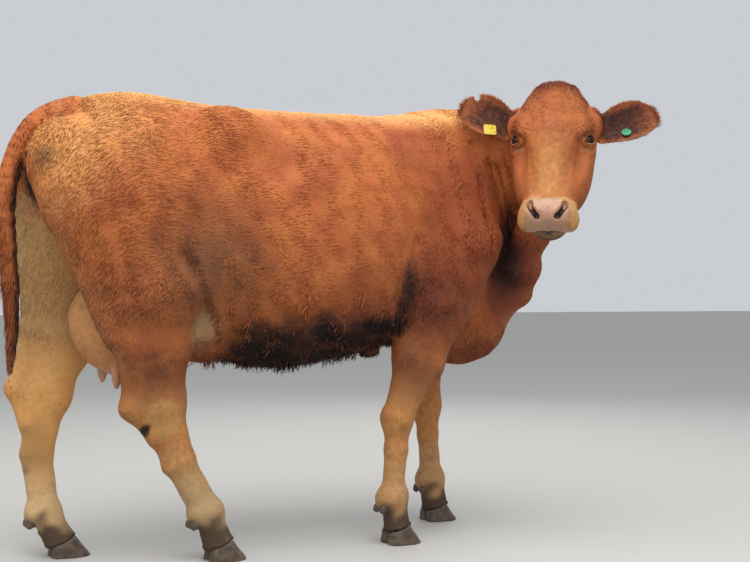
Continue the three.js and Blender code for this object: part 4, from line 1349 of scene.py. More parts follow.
    def light(self, p: Array, slope: Array, share: Array) -> Array:
        """Painted light and shade on the coat: lighter along the back, darker low down, under the jaw and on
        faces that look down, lighter on the far hind leg low down and on the udder.
        """
        own = HEAD.into(p)
        head = share[:, Region.HEAD.value]
        body = 0.14 - 0.33 * smoothstep(1150, 640, p[:, 2]) + 0.02 * smoothstep(560, 300, p[:, 2])
        face = -0.08 - 0.3 * smoothstep(-40, -110, own[:, 2])
        far_hind = 0.2 * share[:, Region.HIND_LEFT.value] * smoothstep(720, 540, p[:, 2])
        udder = 0.16 * share[:, Region.UDDER.value]
        under = 0.16 * smoothstep(0.0, -0.8, slope[:, 2])
        return body * (1 - head) + face * head - under + far_hind + udder


# ---- Finishes ---------------------------------------------------------------------------------------
def colour(hex_value: str, alpha: float = 1.0) -> tuple[float, float, float, float]:
    """An sRGB hex colour as linear red, green, blue and alpha."""
    parts = [int(hex_value.lstrip("#")[i:i + 2], 16) / 255 for i in (0, 2, 4)]
    linear = [c / 12.92 if c <= 0.04045 else ((c + 0.055) / 1.055) ** 2.4 for c in parts]
    return (*linear, alpha)


def per_mm(size: float) -> float:
    """The texture scale at which one patch of a pattern is size mm wide."""
    return 1000.0 / size


RGBA = {"data_type": "RGBA"}  # a Mix node for colours
SOFT = {"interpolation_type": "SMOOTHSTEP"}  # a Map Range node with soft ends


def add(
    tree: bpy.types.NodeTree, kind: str, inputs: Optional[dict] = None, **settings: object
) -> bpy.types.Node:
    """Adds a node.

    Args:
        tree: the node tree it joins.
        kind: its type, without the ShaderNode before it.
        inputs: for each input's name or number, a value, or an output socket to link.
        settings: its other settings.

    Returns:
        The new node.
    """
    node = tree.nodes.new(kind if kind.startswith("Node") else "ShaderNode" + kind)
    for name, value in settings.items():
        setattr(node, name, value)
    for key, value in (inputs or {}).items():
        if isinstance(value, bpy.types.NodeSocket):
            tree.links.new(value, node.inputs[key])
        else:
            node.inputs[key].default_value = value
    return node


@dataclass(frozen=True)
class HidePalette:
    """The coat's colours. A beef cow's hair is red-tan and dull, with a faint gloss along each hair."""

    ginger: str = "#BD6B34"
    rust: str = "#A9562A"
    red: str = "#8A3D1E"
    gold: str = "#DFA35E"
    pale: str = "#CCA878"
    # dark also paints shade under the belly, behind the elbow and in creases; mud also paints shade on the
    # flanks and gaskins.
    dark: str = "#2A100A"
    mud: str = "#56422F"
    bare: str = "#C8967A"

    def group(self) -> bpy.types.NodeTree:
        """A group that turns the markings into colour, shared by skin and hair."""
        tree = bpy.data.node_groups.new("hide markings", "ShaderNodeTree")
        tree.interface.new_socket("Color", in_out="OUTPUT", socket_type="NodeSocketColor")
        tree.interface.new_socket("Bare", in_out="OUTPUT", socket_type="NodeSocketFloat")
        place = add(tree, "TexCoord").outputs["Object"]
        tone = add(tree, "SeparateColor", {0: add(tree, "Attribute", attribute_name="tone").outputs["Color"]})
        soil_and_shade = add(tree, "SeparateColor", {0: add(tree, "Attribute", attribute_name="soil_and_shade").outputs["Color"]})
        light = add(tree, "Attribute", attribute_name="tuft").outputs["Fac"]
        # Hair clumps are 12 to 20 mm across, worn and greasy areas 60 to 150 mm.
        noise = {"Vector": place, "Detail": 3.0, "Roughness": 0.6}
        clump = add(tree, "TexNoise", {**noise, "Scale": per_mm(17)}).outputs[0]
        area = add(tree, "TexNoise", {**noise, "Scale": per_mm(85)}).outputs[0]
        ragged = add(tree, "Mix", {0: 0.35, 2: clump, 3: area}, data_type="FLOAT").outputs[0]
        worn = add(tree, "MapRange", {0: area, 1: 0.36, 2: 0.66}).outputs[0]
        now = add(tree, "Mix", {0: worn, 6: colour(self.ginger), 7: colour(self.rust)}, **RGBA).outputs[2]
        for mask, spread, tint in (
            (tone.outputs[0], 0.6, self.red),
            (tone.outputs[1], 0.5, self.gold),
            (tone.outputs[2], 0.45, self.pale),
            (soil_and_shade.outputs[2], 0.12, self.bare),
            (soil_and_shade.outputs[0], 1.0, self.dark),
            (soil_and_shade.outputs[1], 0.6, self.mud),
        ):
            # Each marking has a ragged edge.
            swing = {0: ragged, 1: spread, 2: -0.5 * spread}
            edge = add(tree, "Math", swing, operation="MULTIPLY_ADD").outputs[0]
            shifted = add(tree, "Math", {0: mask, 1: edge}, operation="ADD").outputs[0]
            cover = add(tree, "MapRange", {0: shifted, 1: 0.1, 2: 0.9}, **SOFT).outputs[0]
            now = add(tree, "Mix", {0: cover, 6: now, 7: colour(tint)}, **RGBA).outputs[2]
        # Single locks differ a little and clumps differ more; the tuft value also holds painted light and
        # shade, lighter along the back and darker low down.
        value = add(tree, "MapRange", {0: light, 3: 0.52, 4: 1.42}).outputs[0]
        patchy = add(tree, "MapRange", {0: clump, 1: 0.3, 2: 0.7, 3: 0.88, 4: 1.1}).outputs[0]
        shade = add(tree, "Math", {0: value, 1: patchy}, operation="MULTIPLY").outputs[0]
        now = add(tree, "VectorMath", {0: now, "Scale": shade}, operation="SCALE").outputs[0]
        out = add(tree, "NodeGroupOutput")
        tree.links.new(now, out.inputs["Color"])
        tree.links.new(soil_and_shade.outputs[2], out.inputs["Bare"])
        return tree


def new_material(name: str) -> tuple[bpy.types.Material, bpy.types.NodeTree, bpy.types.Node]:
    """An empty node material with its shader and output.

    Args:
        name: the material's name.

    Returns:
        The material, its node tree and its Principled shader.
    """
    material = bpy.data.materials.new(name)
    material.use_nodes = True
    tree = material.node_tree
    tree.nodes.clear()
    shader = add(tree, "BsdfPrincipled")
    add(tree, "OutputMaterial", {"Surface": shader.outputs[0]})
    return material, tree, shader


@dataclass(frozen=True)
class HairFinish:
    """Cow hair: a keratin fibre, drawn fine by the follicle, which gives a soft broken gloss."""

    roughness: float = 0.62
    specular: float = 0.32
    ior: float = 1.55

    def make(self, markings: bpy.types.NodeTree) -> bpy.types.Material:
        """The material of every lock."""
        material, tree, shader = new_material("cattle hair")
        group = add(tree, "Group", node_tree=markings)
        shader.inputs["Roughness"].default_value = self.roughness
        shader.inputs["Specular IOR Level"].default_value = self.specular
        shader.inputs["IOR"].default_value = self.ior
        tree.links.new(group.outputs["Color"], shader.inputs["Base Color"])
        return material


@dataclass(frozen=True)
class HideFinish:
    """Hide under short flat hair, and bare nose and udder: dull where haired, moist where bare."""

    hair_roughness: float = 0.78
    bare_roughness: float = 0.38

    def make(self, markings: bpy.types.NodeTree) -> bpy.types.Material:
        """The skin's material."""
        material, tree, shader = new_material("cattle hide")
        group = add(tree, "Group", node_tree=markings)
        place = add(tree, "TexCoord").outputs["Object"]
        bare = group.outputs["Bare"]
        # Short hair lies back and down in streaks about 3 mm wide and 12 mm long.
        lying = {"Vector": place, "Rotation": (0, 0.4, 0), "Scale": (0.22, 1, 0.7)}
        streaks = add(tree, "Mapping", lying).outputs[0]
        hair = add(tree, "TexNoise", {"Vector": streaks, "Scale": per_mm(2.6), "Detail": 2.0}).outputs[0]
        # The nose and teats are pebbled in cells about 4 mm across.
        cells = add(tree, "TexVoronoi", {"Vector": place, "Scale": per_mm(4.2)}, feature="SMOOTH_F1")
        pebble = cells.outputs["Distance"]
        height = add(tree, "Mix", {0: bare, 2: hair, 3: pebble}, data_type="FLOAT").outputs[0]
        bump = add(tree, "Bump", {"Height": height, "Strength": 0.55, "Distance": 0.0022})
        rough = add(tree, "MapRange", {0: bare, 3: self.hair_roughness, 4: self.bare_roughness}).outputs[0]
        shader.inputs["Specular IOR Level"].default_value = 0.4
        tree.links.new(group.outputs["Color"], shader.inputs["Base Color"])
        tree.links.new(rough, shader.inputs["Roughness"])
        tree.links.new(bump.outputs[0], shader.inputs["Normal"])
        return material


@dataclass(frozen=True)
class HornFinish:
    """Hoof horn: keratin laid down in rings from the coronet, worn matt and dusty at the ground."""

    horn: str = "#3A2E27"
    ring: str = "#57483B"
    mud: str = "#6A5847"

    def make(self) -> bpy.types.Material:
        """The claws' material."""
        material, tree, shader = new_material("hoof horn")
        place = add(tree, "TexCoord").outputs["Object"]
        # Growth rings are about 6 mm apart and run level round the claw.
        flat = add(tree, "Mapping", {"Vector": place, "Scale": (0.12, 0.12, 1)}).outputs[0]
        rings = add(tree, "TexNoise", {"Vector": flat, "Scale": per_mm(6), "Detail": 2.0}).outputs[0]
        dirt = add(tree, "TexNoise", {"Vector": place, "Scale": per_mm(22), "Detail": 4.0}).outputs[0]
        base = add(tree, "Mix", {0: rings, 6: colour(self.horn), 7: colour(self.ring)}, **RGBA).outputs[2]
        dirty = add(tree, "MapRange", {0: dirt, 1: 0.42, 2: 0.66}, **SOFT).outputs[0]
        base = add(tree, "Mix", {0: dirty, 6: base, 7: colour(self.mud)}, **RGBA).outputs[2]
        tree.links.new(base, shader.inputs["Base Color"])
        rough = add(tree, "MapRange", {0: dirty, 3: 0.5, 4: 0.85}).outputs[0]
        tree.links.new(rough, shader.inputs["Roughness"])
        bump = add(tree, "Bump", {"Height": rings, "Strength": 0.5, "Distance": 0.0015})
        tree.links.new(bump.outputs[0], shader.inputs["Normal"])
        return material


@dataclass(frozen=True)
class EyeFinish:
    """A cow's eye: a wet clear cornea over a brown iris and a long level pupil."""

    iris: str = "#1C0E07"
    streak: str = "#331A0C"
    pupil: str = "#050404"
    white: str = "#3A241B"

    def make(self, eye: EyeSocket) -> bpy.types.Material:
        """The material of one eyeball, with its pattern centred on the line of sight."""
        material, tree, shader = new_material("moist eye " + ("left" if eye.side > 0 else "right"))
        place = add(tree, "TexCoord").outputs["Object"]
        centre = to_model(eye.axes.origin)
        turn = Matrix(eye.axes.rows.tolist()).to_euler()
        moved_place = add(tree, "VectorMath", {0: place, 1: tuple(centre)}, operation="SUBTRACT").outputs[0]
        facing = {"Vector": moved_place, "Rotation": tuple(turn)}
        own = add(tree, "Mapping", facing, vector_type="POINT").outputs[0]
        # The pupil is 13 by 8 mm and the iris 31 mm across.
        pupil = add(tree, "Mapping", {"Vector": own, "Scale": (1000 / 6.5, 1000 / 4.0, 0)}).outputs[0]
        pupil_at = add(tree, "VectorMath", {0: pupil}, operation="LENGTH").outputs["Value"]
        iris = add(tree, "Mapping", {"Vector": own, "Scale": (1000 / 15.5, 1000 / 15.5, 0)}).outputs[0]
        iris_at = add(tree, "VectorMath", {0: iris}, operation="LENGTH").outputs["Value"]
        streak = add(tree, "TexNoise", {"Vector": own, "Scale": per_mm(1.6), "Detail": 2.0}).outputs[0]
        brown = add(tree, "Mix", {0: streak, 6: colour(self.iris), 7: colour(self.streak)}, **RGBA).outputs[2]
        outside = add(tree, "MapRange", {0: iris_at, 1: 0.94, 2: 1.08}, **SOFT).outputs[0]
        inside = add(tree, "MapRange", {0: pupil_at, 1: 1.1, 2: 0.9}, **SOFT).outputs[0]
        base = add(tree, "Mix", {0: outside, 6: brown, 7: colour(self.white)}, **RGBA).outputs[2]
        base = add(tree, "Mix", {0: inside, 6: base, 7: colour(self.pupil)}, **RGBA).outputs[2]
        tree.links.new(base, shader.inputs["Base Color"])
        shader.inputs["Roughness"].default_value = 0.05
        shader.inputs["Specular IOR Level"].default_value = 0.3
        shader.inputs["IOR"].default_value = 1.376
        shader.inputs["Coat Weight"].default_value = 0.1
        shader.inputs["Coat Roughness"].default_value = 0.03
        return material


@dataclass(frozen=True)
class TagFinish:
    """Polyurethane ear tag: moulded, slightly soft, faded by the sun and rubbed by hair."""

    name: str
    tint: str
    worn: str

    def make(self) -> bpy.types.Material:
        """The tag's material."""
        material, tree, shader = new_material(self.name)
        place = add(tree, "TexCoord").outputs["Object"]
        # Grime gathers in patches about 7 mm across.
        grime = add(tree, "TexNoise", {"Vector": place, "Scale": per_mm(7), "Detail": 4.0}).outputs[0]
        dirty = add(tree, "MapRange", {0: grime, 1: 0.48, 2: 0.75}, **SOFT).outputs[0]
        base = add(tree, "Mix", {0: dirty, 6: colour(self.tint), 7: colour(self.worn)}, **RGBA).outputs[2]
        tree.links.new(base, shader.inputs["Base Color"])
        rough = add(tree, "MapRange", {0: grime, 3: 0.38, 4: 0.6}).outputs[0]
        tree.links.new(rough, shader.inputs["Roughness"])
        grain = add(tree, "TexNoise", {"Vector": place, "Scale": per_mm(1.2)}).outputs[0]
        bump = add(tree, "Bump", {"Height": grain, "Strength": 0.15, "Distance": 0.0005})
        tree.links.new(bump.outputs[0], shader.inputs["Normal"])
        return material


@dataclass(frozen=True)
class FloorFinish:
    """Painted studio floor: matt and pale."""

    tint: str = "#BDBBB6"

    def make(self) -> bpy.types.Material:
        """The floor's material."""
        material, _, shader = new_material("matt studio floor")
        shader.inputs["Base Color"].default_value = colour(self.tint)
        shader.inputs["Roughness"].default_value = 0.9
        return material


# ---- The coat ---------------------------------------------------------------------------------------
@dataclass
class Roots:
    """Where locks grow: body positions in mm with all that is known of the skin there."""

    points: Array
    normals: Array
    share: Array
    ear: Array
    hollow: Array

    def pick(self, chosen: Array) -> "Roots":
        """The roots chosen by a mask or by numbers."""
        return Roots(*(getattr(self, k)[chosen] for k in ("points", "normals", "share", "ear", "hollow")))

    def __len__(self) -> int:
        """How many there are."""
        return len(self.points)


@dataclass
class Locks:
    """The size and set of each lock: one number for each root, in mm, and the direction it lies in."""

    length: Array
    width: Array
    lift: Array
    curl: Array
    lie: Array
    rings: int = 1


@dataclass
class Coat:
    """Plants solid locks of hair over the skin and sorts them into pieces."""

    skin: Skin
    mesh: bpy.types.Mesh
    markings: Markings
    finish: bpy.types.Material
    seed: int = 20

    def __post_init__(self) -> None:
        """Reads the skin's triangles once."""
        self.mesh.calc_loop_triangles()
        flat = np.empty(len(self.mesh.loop_triangles) * 3, np.int32)
        self.mesh.loop_triangles.foreach_get("vertices", flat)
        self.triangles = flat.reshape(-1, 3)
        corners = self.skin.points[self.triangles]
        across = np.cross(corners[:, 1] - corners[:, 0], corners[:, 2] - corners[:, 0])
        self.areas = np.linalg.norm(across, axis=1) / 2
        self.rng = np.random.default_rng(self.seed)

    def sow(self, density: Callable[[Roots], Array]) -> Roots:
        """Scatters roots evenly over the skin.

        Args:
            density: gives locks for each square centimetre at given roots.

        Returns:
            The roots.
        """
        middles = self._at(np.arange(len(self.triangles)), np.full((len(self.triangles), 3), 1 / 3))
        wanted = np.cumsum(density(middles) * self.areas / 100.0)
        count = np.floor(wanted + self.rng.random()).astype(int)
        each = np.diff(np.concatenate([[0], count]))
        which = np.repeat(np.arange(len(self.triangles)), np.maximum(each, 0))
        a, b = self.rng.random((2, len(which)))
        flip = a + b > 1
        a, b = np.where(flip, 1 - a, a), np.where(flip, 1 - b, b)
        return self._at(which, np.stack([1 - a - b, a, b], axis=1))

    def _at(self, which: Array, weights: Array) -> Roots:
        """Roots inside triangles, at given weights of their corners."""
        rows = self.triangles[which]

        def mixed(values: Array) -> Array:
            """Values of the vertices, read at the roots."""
            if values.ndim == 1:
                return (values[rows] * weights).sum(axis=1)
            return (values[rows] * weights[:, :, None]).sum(axis=1)

        s = self.skin
        return Roots(mixed(s.points), unit(mixed(s.slope)), mixed(s.share), mixed(s.ear), mixed(s.ear_hollow))

    # -- how the hair lies --
    def lie(self, roots: Roots) -> Array:
        """The direction in which hair lies at each root, along the skin."""
        p, n = roots.points, roots.normals
        share = roots.share
        low = smoothstep(1150, 700, p[:, 2])
        flow = share[:, :1] * np.stack([-np.ones(len(p)), np.zeros(len(p)), -0.22 - 0.75 * low], axis=1)
        shoulder = smoothstep(120, 380, p[:, 0]) * share[:, 0]
        flow += shoulder[:, None] * np.array([0.2, 0, -1.2])
        rump = smoothstep(-560, -800, p[:, 0]) * share[:, 0]
        flow += rump[:, None] * np.array([0.25, 0, -1.1])
        hind = share[:, Region.HIND_RIGHT.value] + share[:, Region.HIND_LEFT.value]
        fore = share[:, Region.FORE_RIGHT.value] + share[:, Region.FORE_LEFT.value]
        flow += (hind + fore)[:, None] * np.array([-0.18, 0, -1.0])
        neck_way = unit(np.array(NECK_PATH[0]) - np.array(NECK_PATH[3])) + np.array([0, 0, -1.3])
        flow += share[:, Region.NECK.value][:, None] * neck_way
        flow += share[:, Region.DEWLAP.value][:, None] * np.array([-0.3, 0.2, -1.0])
        flow += share[:, Region.UDDER.value][:, None] * np.array([-0.2, 0, -1.0])
        down_tail = np.where(p[:, 2:3] > 1270, np.array([-0.8, 0, -0.6]), np.array([0, 0, -1.0]))
        flow += share[:, Region.TAIL.value][:, None] * down_tail
        whorl = HEAD.out(np.array([112.0, 0, 76.0]))
        flow += share[:, Region.HEAD.value][:, None] * unit(p - whorl) * 1.3
        for ear in EARS:
            near = roots.ear * (np.linalg.norm(ear.axes.into(p), axis=1) < 260)
            flow = flow * (1 - near[:, None]) + near[:, None] * ear.axes.rows[1]
        sway = np.stack([smooth_noise(p, 60, 31 + k) for k in range(3)], axis=1)
        curly = self.curliness(roots)
        flow = flow + sway * (0.07 + 0.32 * curly)[:, None]
        flow -= n * (flow * n).sum(axis=1, keepdims=True)
        return unit(flow + 1e-6)

    def curliness(self, roots: Roots) -> Array:
        """How rough and curly the coat is: most on the quarters, flank and forehead."""
        p, share = roots.points, roots.share
        trunk = share[:, :3].sum(axis=1)
        quarters = trunk * smoothstep(-150, -520, p[:, 0]) * smoothstep(640, 800, p[:, 2])
        own = HEAD.into(p)
        forehead = share[:, Region.HEAD.value] * smoothstep(250, 150, own[:, 0])
        forehead = forehead * smoothstep(0, 30, own[:, 2])
        ribs = trunk * 0.12
        return np.clip(np.maximum.reduce([quarters, forehead, ribs]), 0, 1)

    # -- the pieces --
    def piece_of(self, roots: Roots) -> Array:
        """The name of the piece that each root belongs to."""
        p, region = roots.points, np.argmax(roots.share, axis=1)
        side = np.where(p[:, 1] < 0, "right", "left")
        names = np.full(len(p), "coat_neck", dtype=object)
        trunk = region == Region.TRUNK.value
        ahead = np.where(p[:, 0] < 60, "coat_flank_", "coat_shoulder_")
        where = np.where(p[:, 0] < -420, "coat_quarters_", ahead)
        names[trunk] = (where.astype(object) + side.astype(object))[trunk]
        for value, name in (
            (Region.HIND_RIGHT, "coat_hindleg_right"), (Region.HIND_LEFT, "coat_hindleg_left"),
            (Region.FORE_RIGHT, "coat_foreleg_right"), (Region.FORE_LEFT, "coat_foreleg_left"),
            (Region.TAIL, "coat_tail"), (Region.UDDER, "coat_tail"), (Region.HEAD, "coat_head"),
        ):
            names[region == value.value] = name
        names[roots.ear > 0.3] = "coat_ears"
        return names

    def short_coat(self) -> list[bpy.types.Object]:
        """The short flat coat, over every side."""
        def density(r: Roots) -> Array:
            """Locks for each square centimetre."""
            by_region = np.array([2.1, 2.6, 2.6, 3.4, 3.4, 2.4, 2.6, 7.5, 2.4, 3.6])
            base = r.share @ by_region
            leg = r.share[:, 1:5].sum(axis=1)
            base += leg * smoothstep(620, 380, r.points[:, 2]) * 3.2
            base = base * (1 - r.ear) + 4.5 * r.ear
            _, soil_and_shade = self.markings.read(r.points, r.normals, r.share, r.ear, r.hollow)
            bare = smoothstep(0.35, 0.75, soil_and_shade[:, 2])
            own = HEAD.into(r.points)
            lips = r.share[:, Region.HEAD.value] * smoothstep(440, 470, own[:, 0])
            udder = r.share[:, Region.UDDER.value] > 0.5
            base = base * np.where(udder & (r.points[:, 2] < 600), 0.0, 1.0)
            for eye in EYES:
                at = eye.axes.into(r.points)
                around = (np.linalg.norm(at, axis=1) < 40) & (at[:, 2] > 0)
                shut = around & (eye.opening(at[:, 0], at[:, 1]) < 1.75)
                base = np.where(shut, 0.0, base)
            return base * (1 - bare * np.where(udder, 0.6, 1.0)) * (1 - 0.5 * lips)

        roots = self.sow(density)
        p = roots.points
        by_region = np.array([24, 22, 22, 18, 18, 23, 21, 10, 14, 21.0])
        length = roots.share @ by_region
        leg = roots.share[:, 1:5].sum(axis=1)
        length = length * (1 - leg) + leg * np.interp(p[:, 2], (60, 200, 500, 900), (8, 9.5, 13, 22))
        width = length * 0.15 + 0.4
        curl = self.curliness(roots)
        head = roots.share[:, Region.HEAD.value]
        length = length * (1 + 0.5 * head * curl)
        length = length * (1 - roots.ear) + 10 * roots.ear
        width = np.clip(width * (1 - roots.ear) + 1.6 * roots.ear, 1.4, 4.0)
        depth = self.skin.depth(p, roots.share, roots.normals)
        lift = depth * self.rng.uniform(0.15, 0.55, len(p)) * (0.7 + 0.6 * curl)
        lift = np.where(roots.ear > 0.3, 1.4, lift)
        length *= self.rng.uniform(0.7, 1.25, len(p))
        locks = Locks(length, width, lift, curl * 2.4 + 0.6, self.lie(roots))
        names = self.piece_of(roots)
        return [self._piece(name, roots.pick(names == name), self._chosen(locks, names == name))
                for name in sorted(set(names))]

    @staticmethod
    def _chosen(locks: Locks, mask: Array) -> Locks:
        """The locks chosen by a mask."""
        picked = (getattr(locks, k)[mask] for k in ("length", "width", "lift", "curl", "lie"))
        return Locks(*picked, rings=locks.rings)

    def _even(self, count: int, value: float, spread: float = 0.25) -> Array:
        """Numbers round a value."""
        return value * self.rng.uniform(1 - spread, 1 + spread, count)

    def curls(self) -> bpy.types.Object:
        """The curly tuft on the poll and the curls of the forehead."""
        def density(r: Roots) -> Array:
            """Locks for each square centimetre."""
            own = HEAD.into(r.points)
            head = r.share[:, Region.HEAD.value] * (r.ear < 0.1)
            poll = smoothstep(78, 50, own[:, 0]) * smoothstep(-40, 10, own[:, 2])
            brow = smoothstep(240, 150, own[:, 0]) * smoothstep(20, 50, own[:, 2]) * 0.22
            return head * np.maximum(poll * 7.0, brow * 7.0)

        roots = self.sow(density)
        own = HEAD.into(roots.points)
        poll = smoothstep(78, 50, own[:, 0])
        n = len(roots)
        length = (13 + 9 * poll) * self.rng.uniform(0.7, 1.2, n)
        lift = (1.0 + 5.0 * poll) * self.rng.uniform(0.5, 1.0, n)
        turns = np.stack([smooth_noise(roots.points, 16, 51 + k) for k in range(3)], axis=1)
        way = self.lie(roots) + turns * 0.9
        way -= roots.normals * (way * roots.normals).sum(axis=1, keepdims=True)
        locks = Locks(length, self._even(n, 2.0), lift, self._even(n, 5.0), unit(way), rings=2)
        return self._piece("coat_poll_curls", roots, locks)

    def belly_clumps(self) -> bpy.types.Object:
        """Matted clumps that hang under the belly."""
        def density(r: Roots) -> Array:
            """Locks for each square centimetre."""
            along = smoothstep(-400, -300, r.points[:, 0]) * smoothstep(420, 330, r.points[:, 0])
            under = smoothstep(-0.15, -0.6, r.normals[:, 2]) * r.share[:, 0]
            patchy = smoothstep(-0.6, 0.5, smooth_noise(r.points, 45, 71))
            return along * under * (0.3 + 1.7 * patchy) * 1.15

        roots = self.sow(density)
        n = len(roots)
        hang = np.tile(np.array([-0.5, 0.0, -1.0]), (n, 1)) + 0.5 * self.rng.normal(size=(n, 3))
        lump = smoothstep(-0.3, 0.8, smooth_noise(roots.points, 38, 72))
        locks = Locks(
            length=self._even(n, 20, 0.4) * (0.5 + 0.7 * lump),
            width=self._even(n, 4.6, 0.4) * (0.6 + 0.6 * lump),
            lift=self._even(n, 8, 0.5) * (0.3 + 1.0 * lump),
            curl=self._even(n, 6),
            lie=unit(hang),
            rings=2,
        )
        straw = -1.0 * (self.rng.random(n) < 0.05 + 0.1 * (smooth_noise(roots.points, 60, 73) > 0.8))
        return self._piece("coat_belly_clumps", roots, locks, dark=straw)

    def ear_fringe(self) -> bpy.types.Object:
        """Longer hair inside the ears and along their edges."""
        def density(r: Roots) -> Array:
            """Locks for each square centimetre."""
            edge = np.zeros(len(r.points))
            for ear in EARS:
                own = ear.axes.into(r.points)
                outward = np.abs(own[:, 0]) / (ear.width / 2)
                near = np.linalg.norm(own, axis=1) < 260
                edge = np.maximum(edge, near * smoothstep(0.66, 0.92, outward))
                edge = np.maximum(edge, near * smoothstep(ear.length - 30, ear.length - 8, own[:, 1]))
            return r.ear * np.maximum(edge * 22.0, r.hollow * 3.0)

        roots = self.sow(density)
        n = len(roots)
        way = np.zeros((n, 3))
        inner = np.zeros(n)
        for ear in EARS:
            own = ear.axes.into(roots.points)
            mine = (np.linalg.norm(own, axis=1) < 260) & (np.sign(HEAD.into(roots.points)[:, 1]) == ear.side)
            outward = np.sign(own[:, 0])[:, None] * ear.axes.rows[0] * np.clip(np.abs(own[:, :1]) / 60, 0, 1)
            way[mine] = (outward + ear.axes.rows[1] * 0.7 + roots.normals * 0.1)[mine]
            inner[mine] = (smoothstep(0.75, 0.4, np.abs(own[:, 0]) / (ear.width / 2)))[mine]
        way += 0.3 * self.rng.normal(size=(n, 3))
        length = self._even(n, 8.5, 0.4) * (1 + 0.7 * inner)
        locks = Locks(
            length=length,
            width=self._even(n, 1.3),
            lift=self._even(n, 1.0) + 2.5 * inner,
            curl=self._even(n, 2),
            lie=unit(way),
        )
        return self._piece("coat_ear_fringe", roots, locks)

    def lashes(self) -> bpy.types.Object:
        """Dark lashes along the upper lids."""
        points, normals, ways = [], [], []
        for eye in EYES:
            for at in eye.axes.into(eye.rim(96)):
                if at[1] < 2.0:
                    continue
                out = unit(at)
                points.append(eye.axes.out(at + out * 2.5 + np.array([0, 1.6, 0])))
                normals.append(eye.axes.turn_out(unit(np.array([0, 1, 0.3]))))
                ways.append(eye.axes.turn_out(unit(np.array([at[0] / 34, 0.10, 1.0]))))
        n = len(points)
        share = np.tile(np.eye(len(Region))[Region.HEAD.value], (n, 1))
        roots = Roots(np.array(points), np.array(normals), share, np.zeros(n), np.zeros(n))
        locks = Locks(
            length=self._even(n, 11),
            width=self._even(n, 0.9),
            lift=self._even(n, -2.5),
            curl=self._even(n, 1),
            lie=np.array(ways),
            rings=2,
        )
        return self._piece("eyelashes", roots, locks, dark=np.ones(n))

    def switch(self) -> bpy.types.Object:
        """The long hair of the tail's end."""
        n = 3600
        path = np.array(TAIL_PATH, float)
        z = 590 + 640 * self.rng.random(n) ** 1.15
        centre = np.stack([np.interp(z, path[::-1, 2], path[::-1, 0]), np.zeros(n), z], axis=1)
        angle = self.rng.uniform(0, 2 * math.pi, n)
        out = np.stack([np.cos(angle), np.sin(angle), np.zeros(n)], axis=1)
        size = np.interp(z, (585, 636, 725, 830, 1200), (3, 8, 14, 20, 25))
        points = centre + out * size[:, None]
        share = np.tile(np.eye(len(Region))[Region.TAIL.value], (n, 1))
        low = smoothstep(840, 620, z)[:, None]
        way = np.array([-0.02, 0, -1.0]) + low * np.array([-0.16, 0, 0]) + 0.05 * self.rng.normal(size=(n, 3))
        way = unit(way - out * (0.04 + 0.10 * low))
        length = np.interp(z, (590, 700, 900, 1200), (30, 95, 60, 32)) * self.rng.uniform(0.6, 1.2, n)
        length = np.minimum(length, (z - 556) * self.rng.uniform(0.5, 1.0, n))
        locks = Locks(length, self._even(n, 3.6), self._even(n, 4, 0.7), self._even(n, 7, 0.7), way, rings=2)
        roots = Roots(points, out, share, np.zeros(n), np.zeros(n))
        return self._piece("tail_switch_hair", roots, locks, dark=0.12 * self.rng.random(n))

    def _piece(self, name: str, roots: Roots, locks: Locks, dark: Array | float = 0.0) -> bpy.types.Object:
        """Builds one piece of the coat.

        Args:
            name: the piece's name.
            roots: where its locks grow.
            locks: their sizes.
            dark: how much darker than the skin each is.

        Returns:
            The piece.
        """
        verts, faces, patch = self._grow(roots, locks)
        n, per = len(roots), verts.shape[1]
        mesh = bpy.data.meshes.new(name)
        mesh.vertices.add(n * per)
        mesh.vertices.foreach_set("co", to_model(verts.reshape(-1, 3)).ravel())
        corners = (faces[None] + (np.arange(n) * per)[:, None, None]).reshape(-1)
        mesh.loops.add(len(corners))
        mesh.loops.foreach_set("vertex_index", corners.astype(np.int32))
        mesh.polygons.add(len(corners) // 3)
        mesh.polygons.foreach_set("loop_start", np.arange(0, len(corners), 3, dtype=np.int32))
        mesh.update(calc_edges=True)
        mesh.validate()
        mesh.shade_smooth()
        self._unwrap(mesh, roots, patch, faces)
        self._mark(mesh, roots, per, dark)
        return new_piece(name, mesh, self.finish)

    def _grow(self, roots: Roots, locks: Locks) -> tuple[Array, Array, Array]:
        """Shapes each lock as a closed three-sided spindle that lies along the skin.

        Args:
            roots: where the locks grow.
            locks: their sizes.

        Returns:
            The vertices of each lock, the faces of one lock, and each vertex's place on its patch of the map.
        """
        n, rings = len(roots), locks.rings
        side = np.cross(roots.normals, locks.lie)
        swing = self.rng.uniform(-1, 1, n) * locks.curl
        start = roots.points - roots.normals * 1.0
        steps = [0.0] + [(k + 0.42) / (rings + 0.25) for k in range(rings)] + [1.0]

        def spine(t: float) -> Array:
            """The middle of every lock, a share t of the way from its root to its tip."""
            rise = locks.lift * (math.sin(min(t * 1.5, 1.0) * math.pi / 2) * (1 - 0.35 * t * t))
            bend = swing * (t * t if rings == 1 else math.sin(t * 2.6) * 0.8)
            along = locks.lie * (locks.length * t)[:, None]
            return start + along + roots.normals * rise[:, None] + side * bend[:, None]

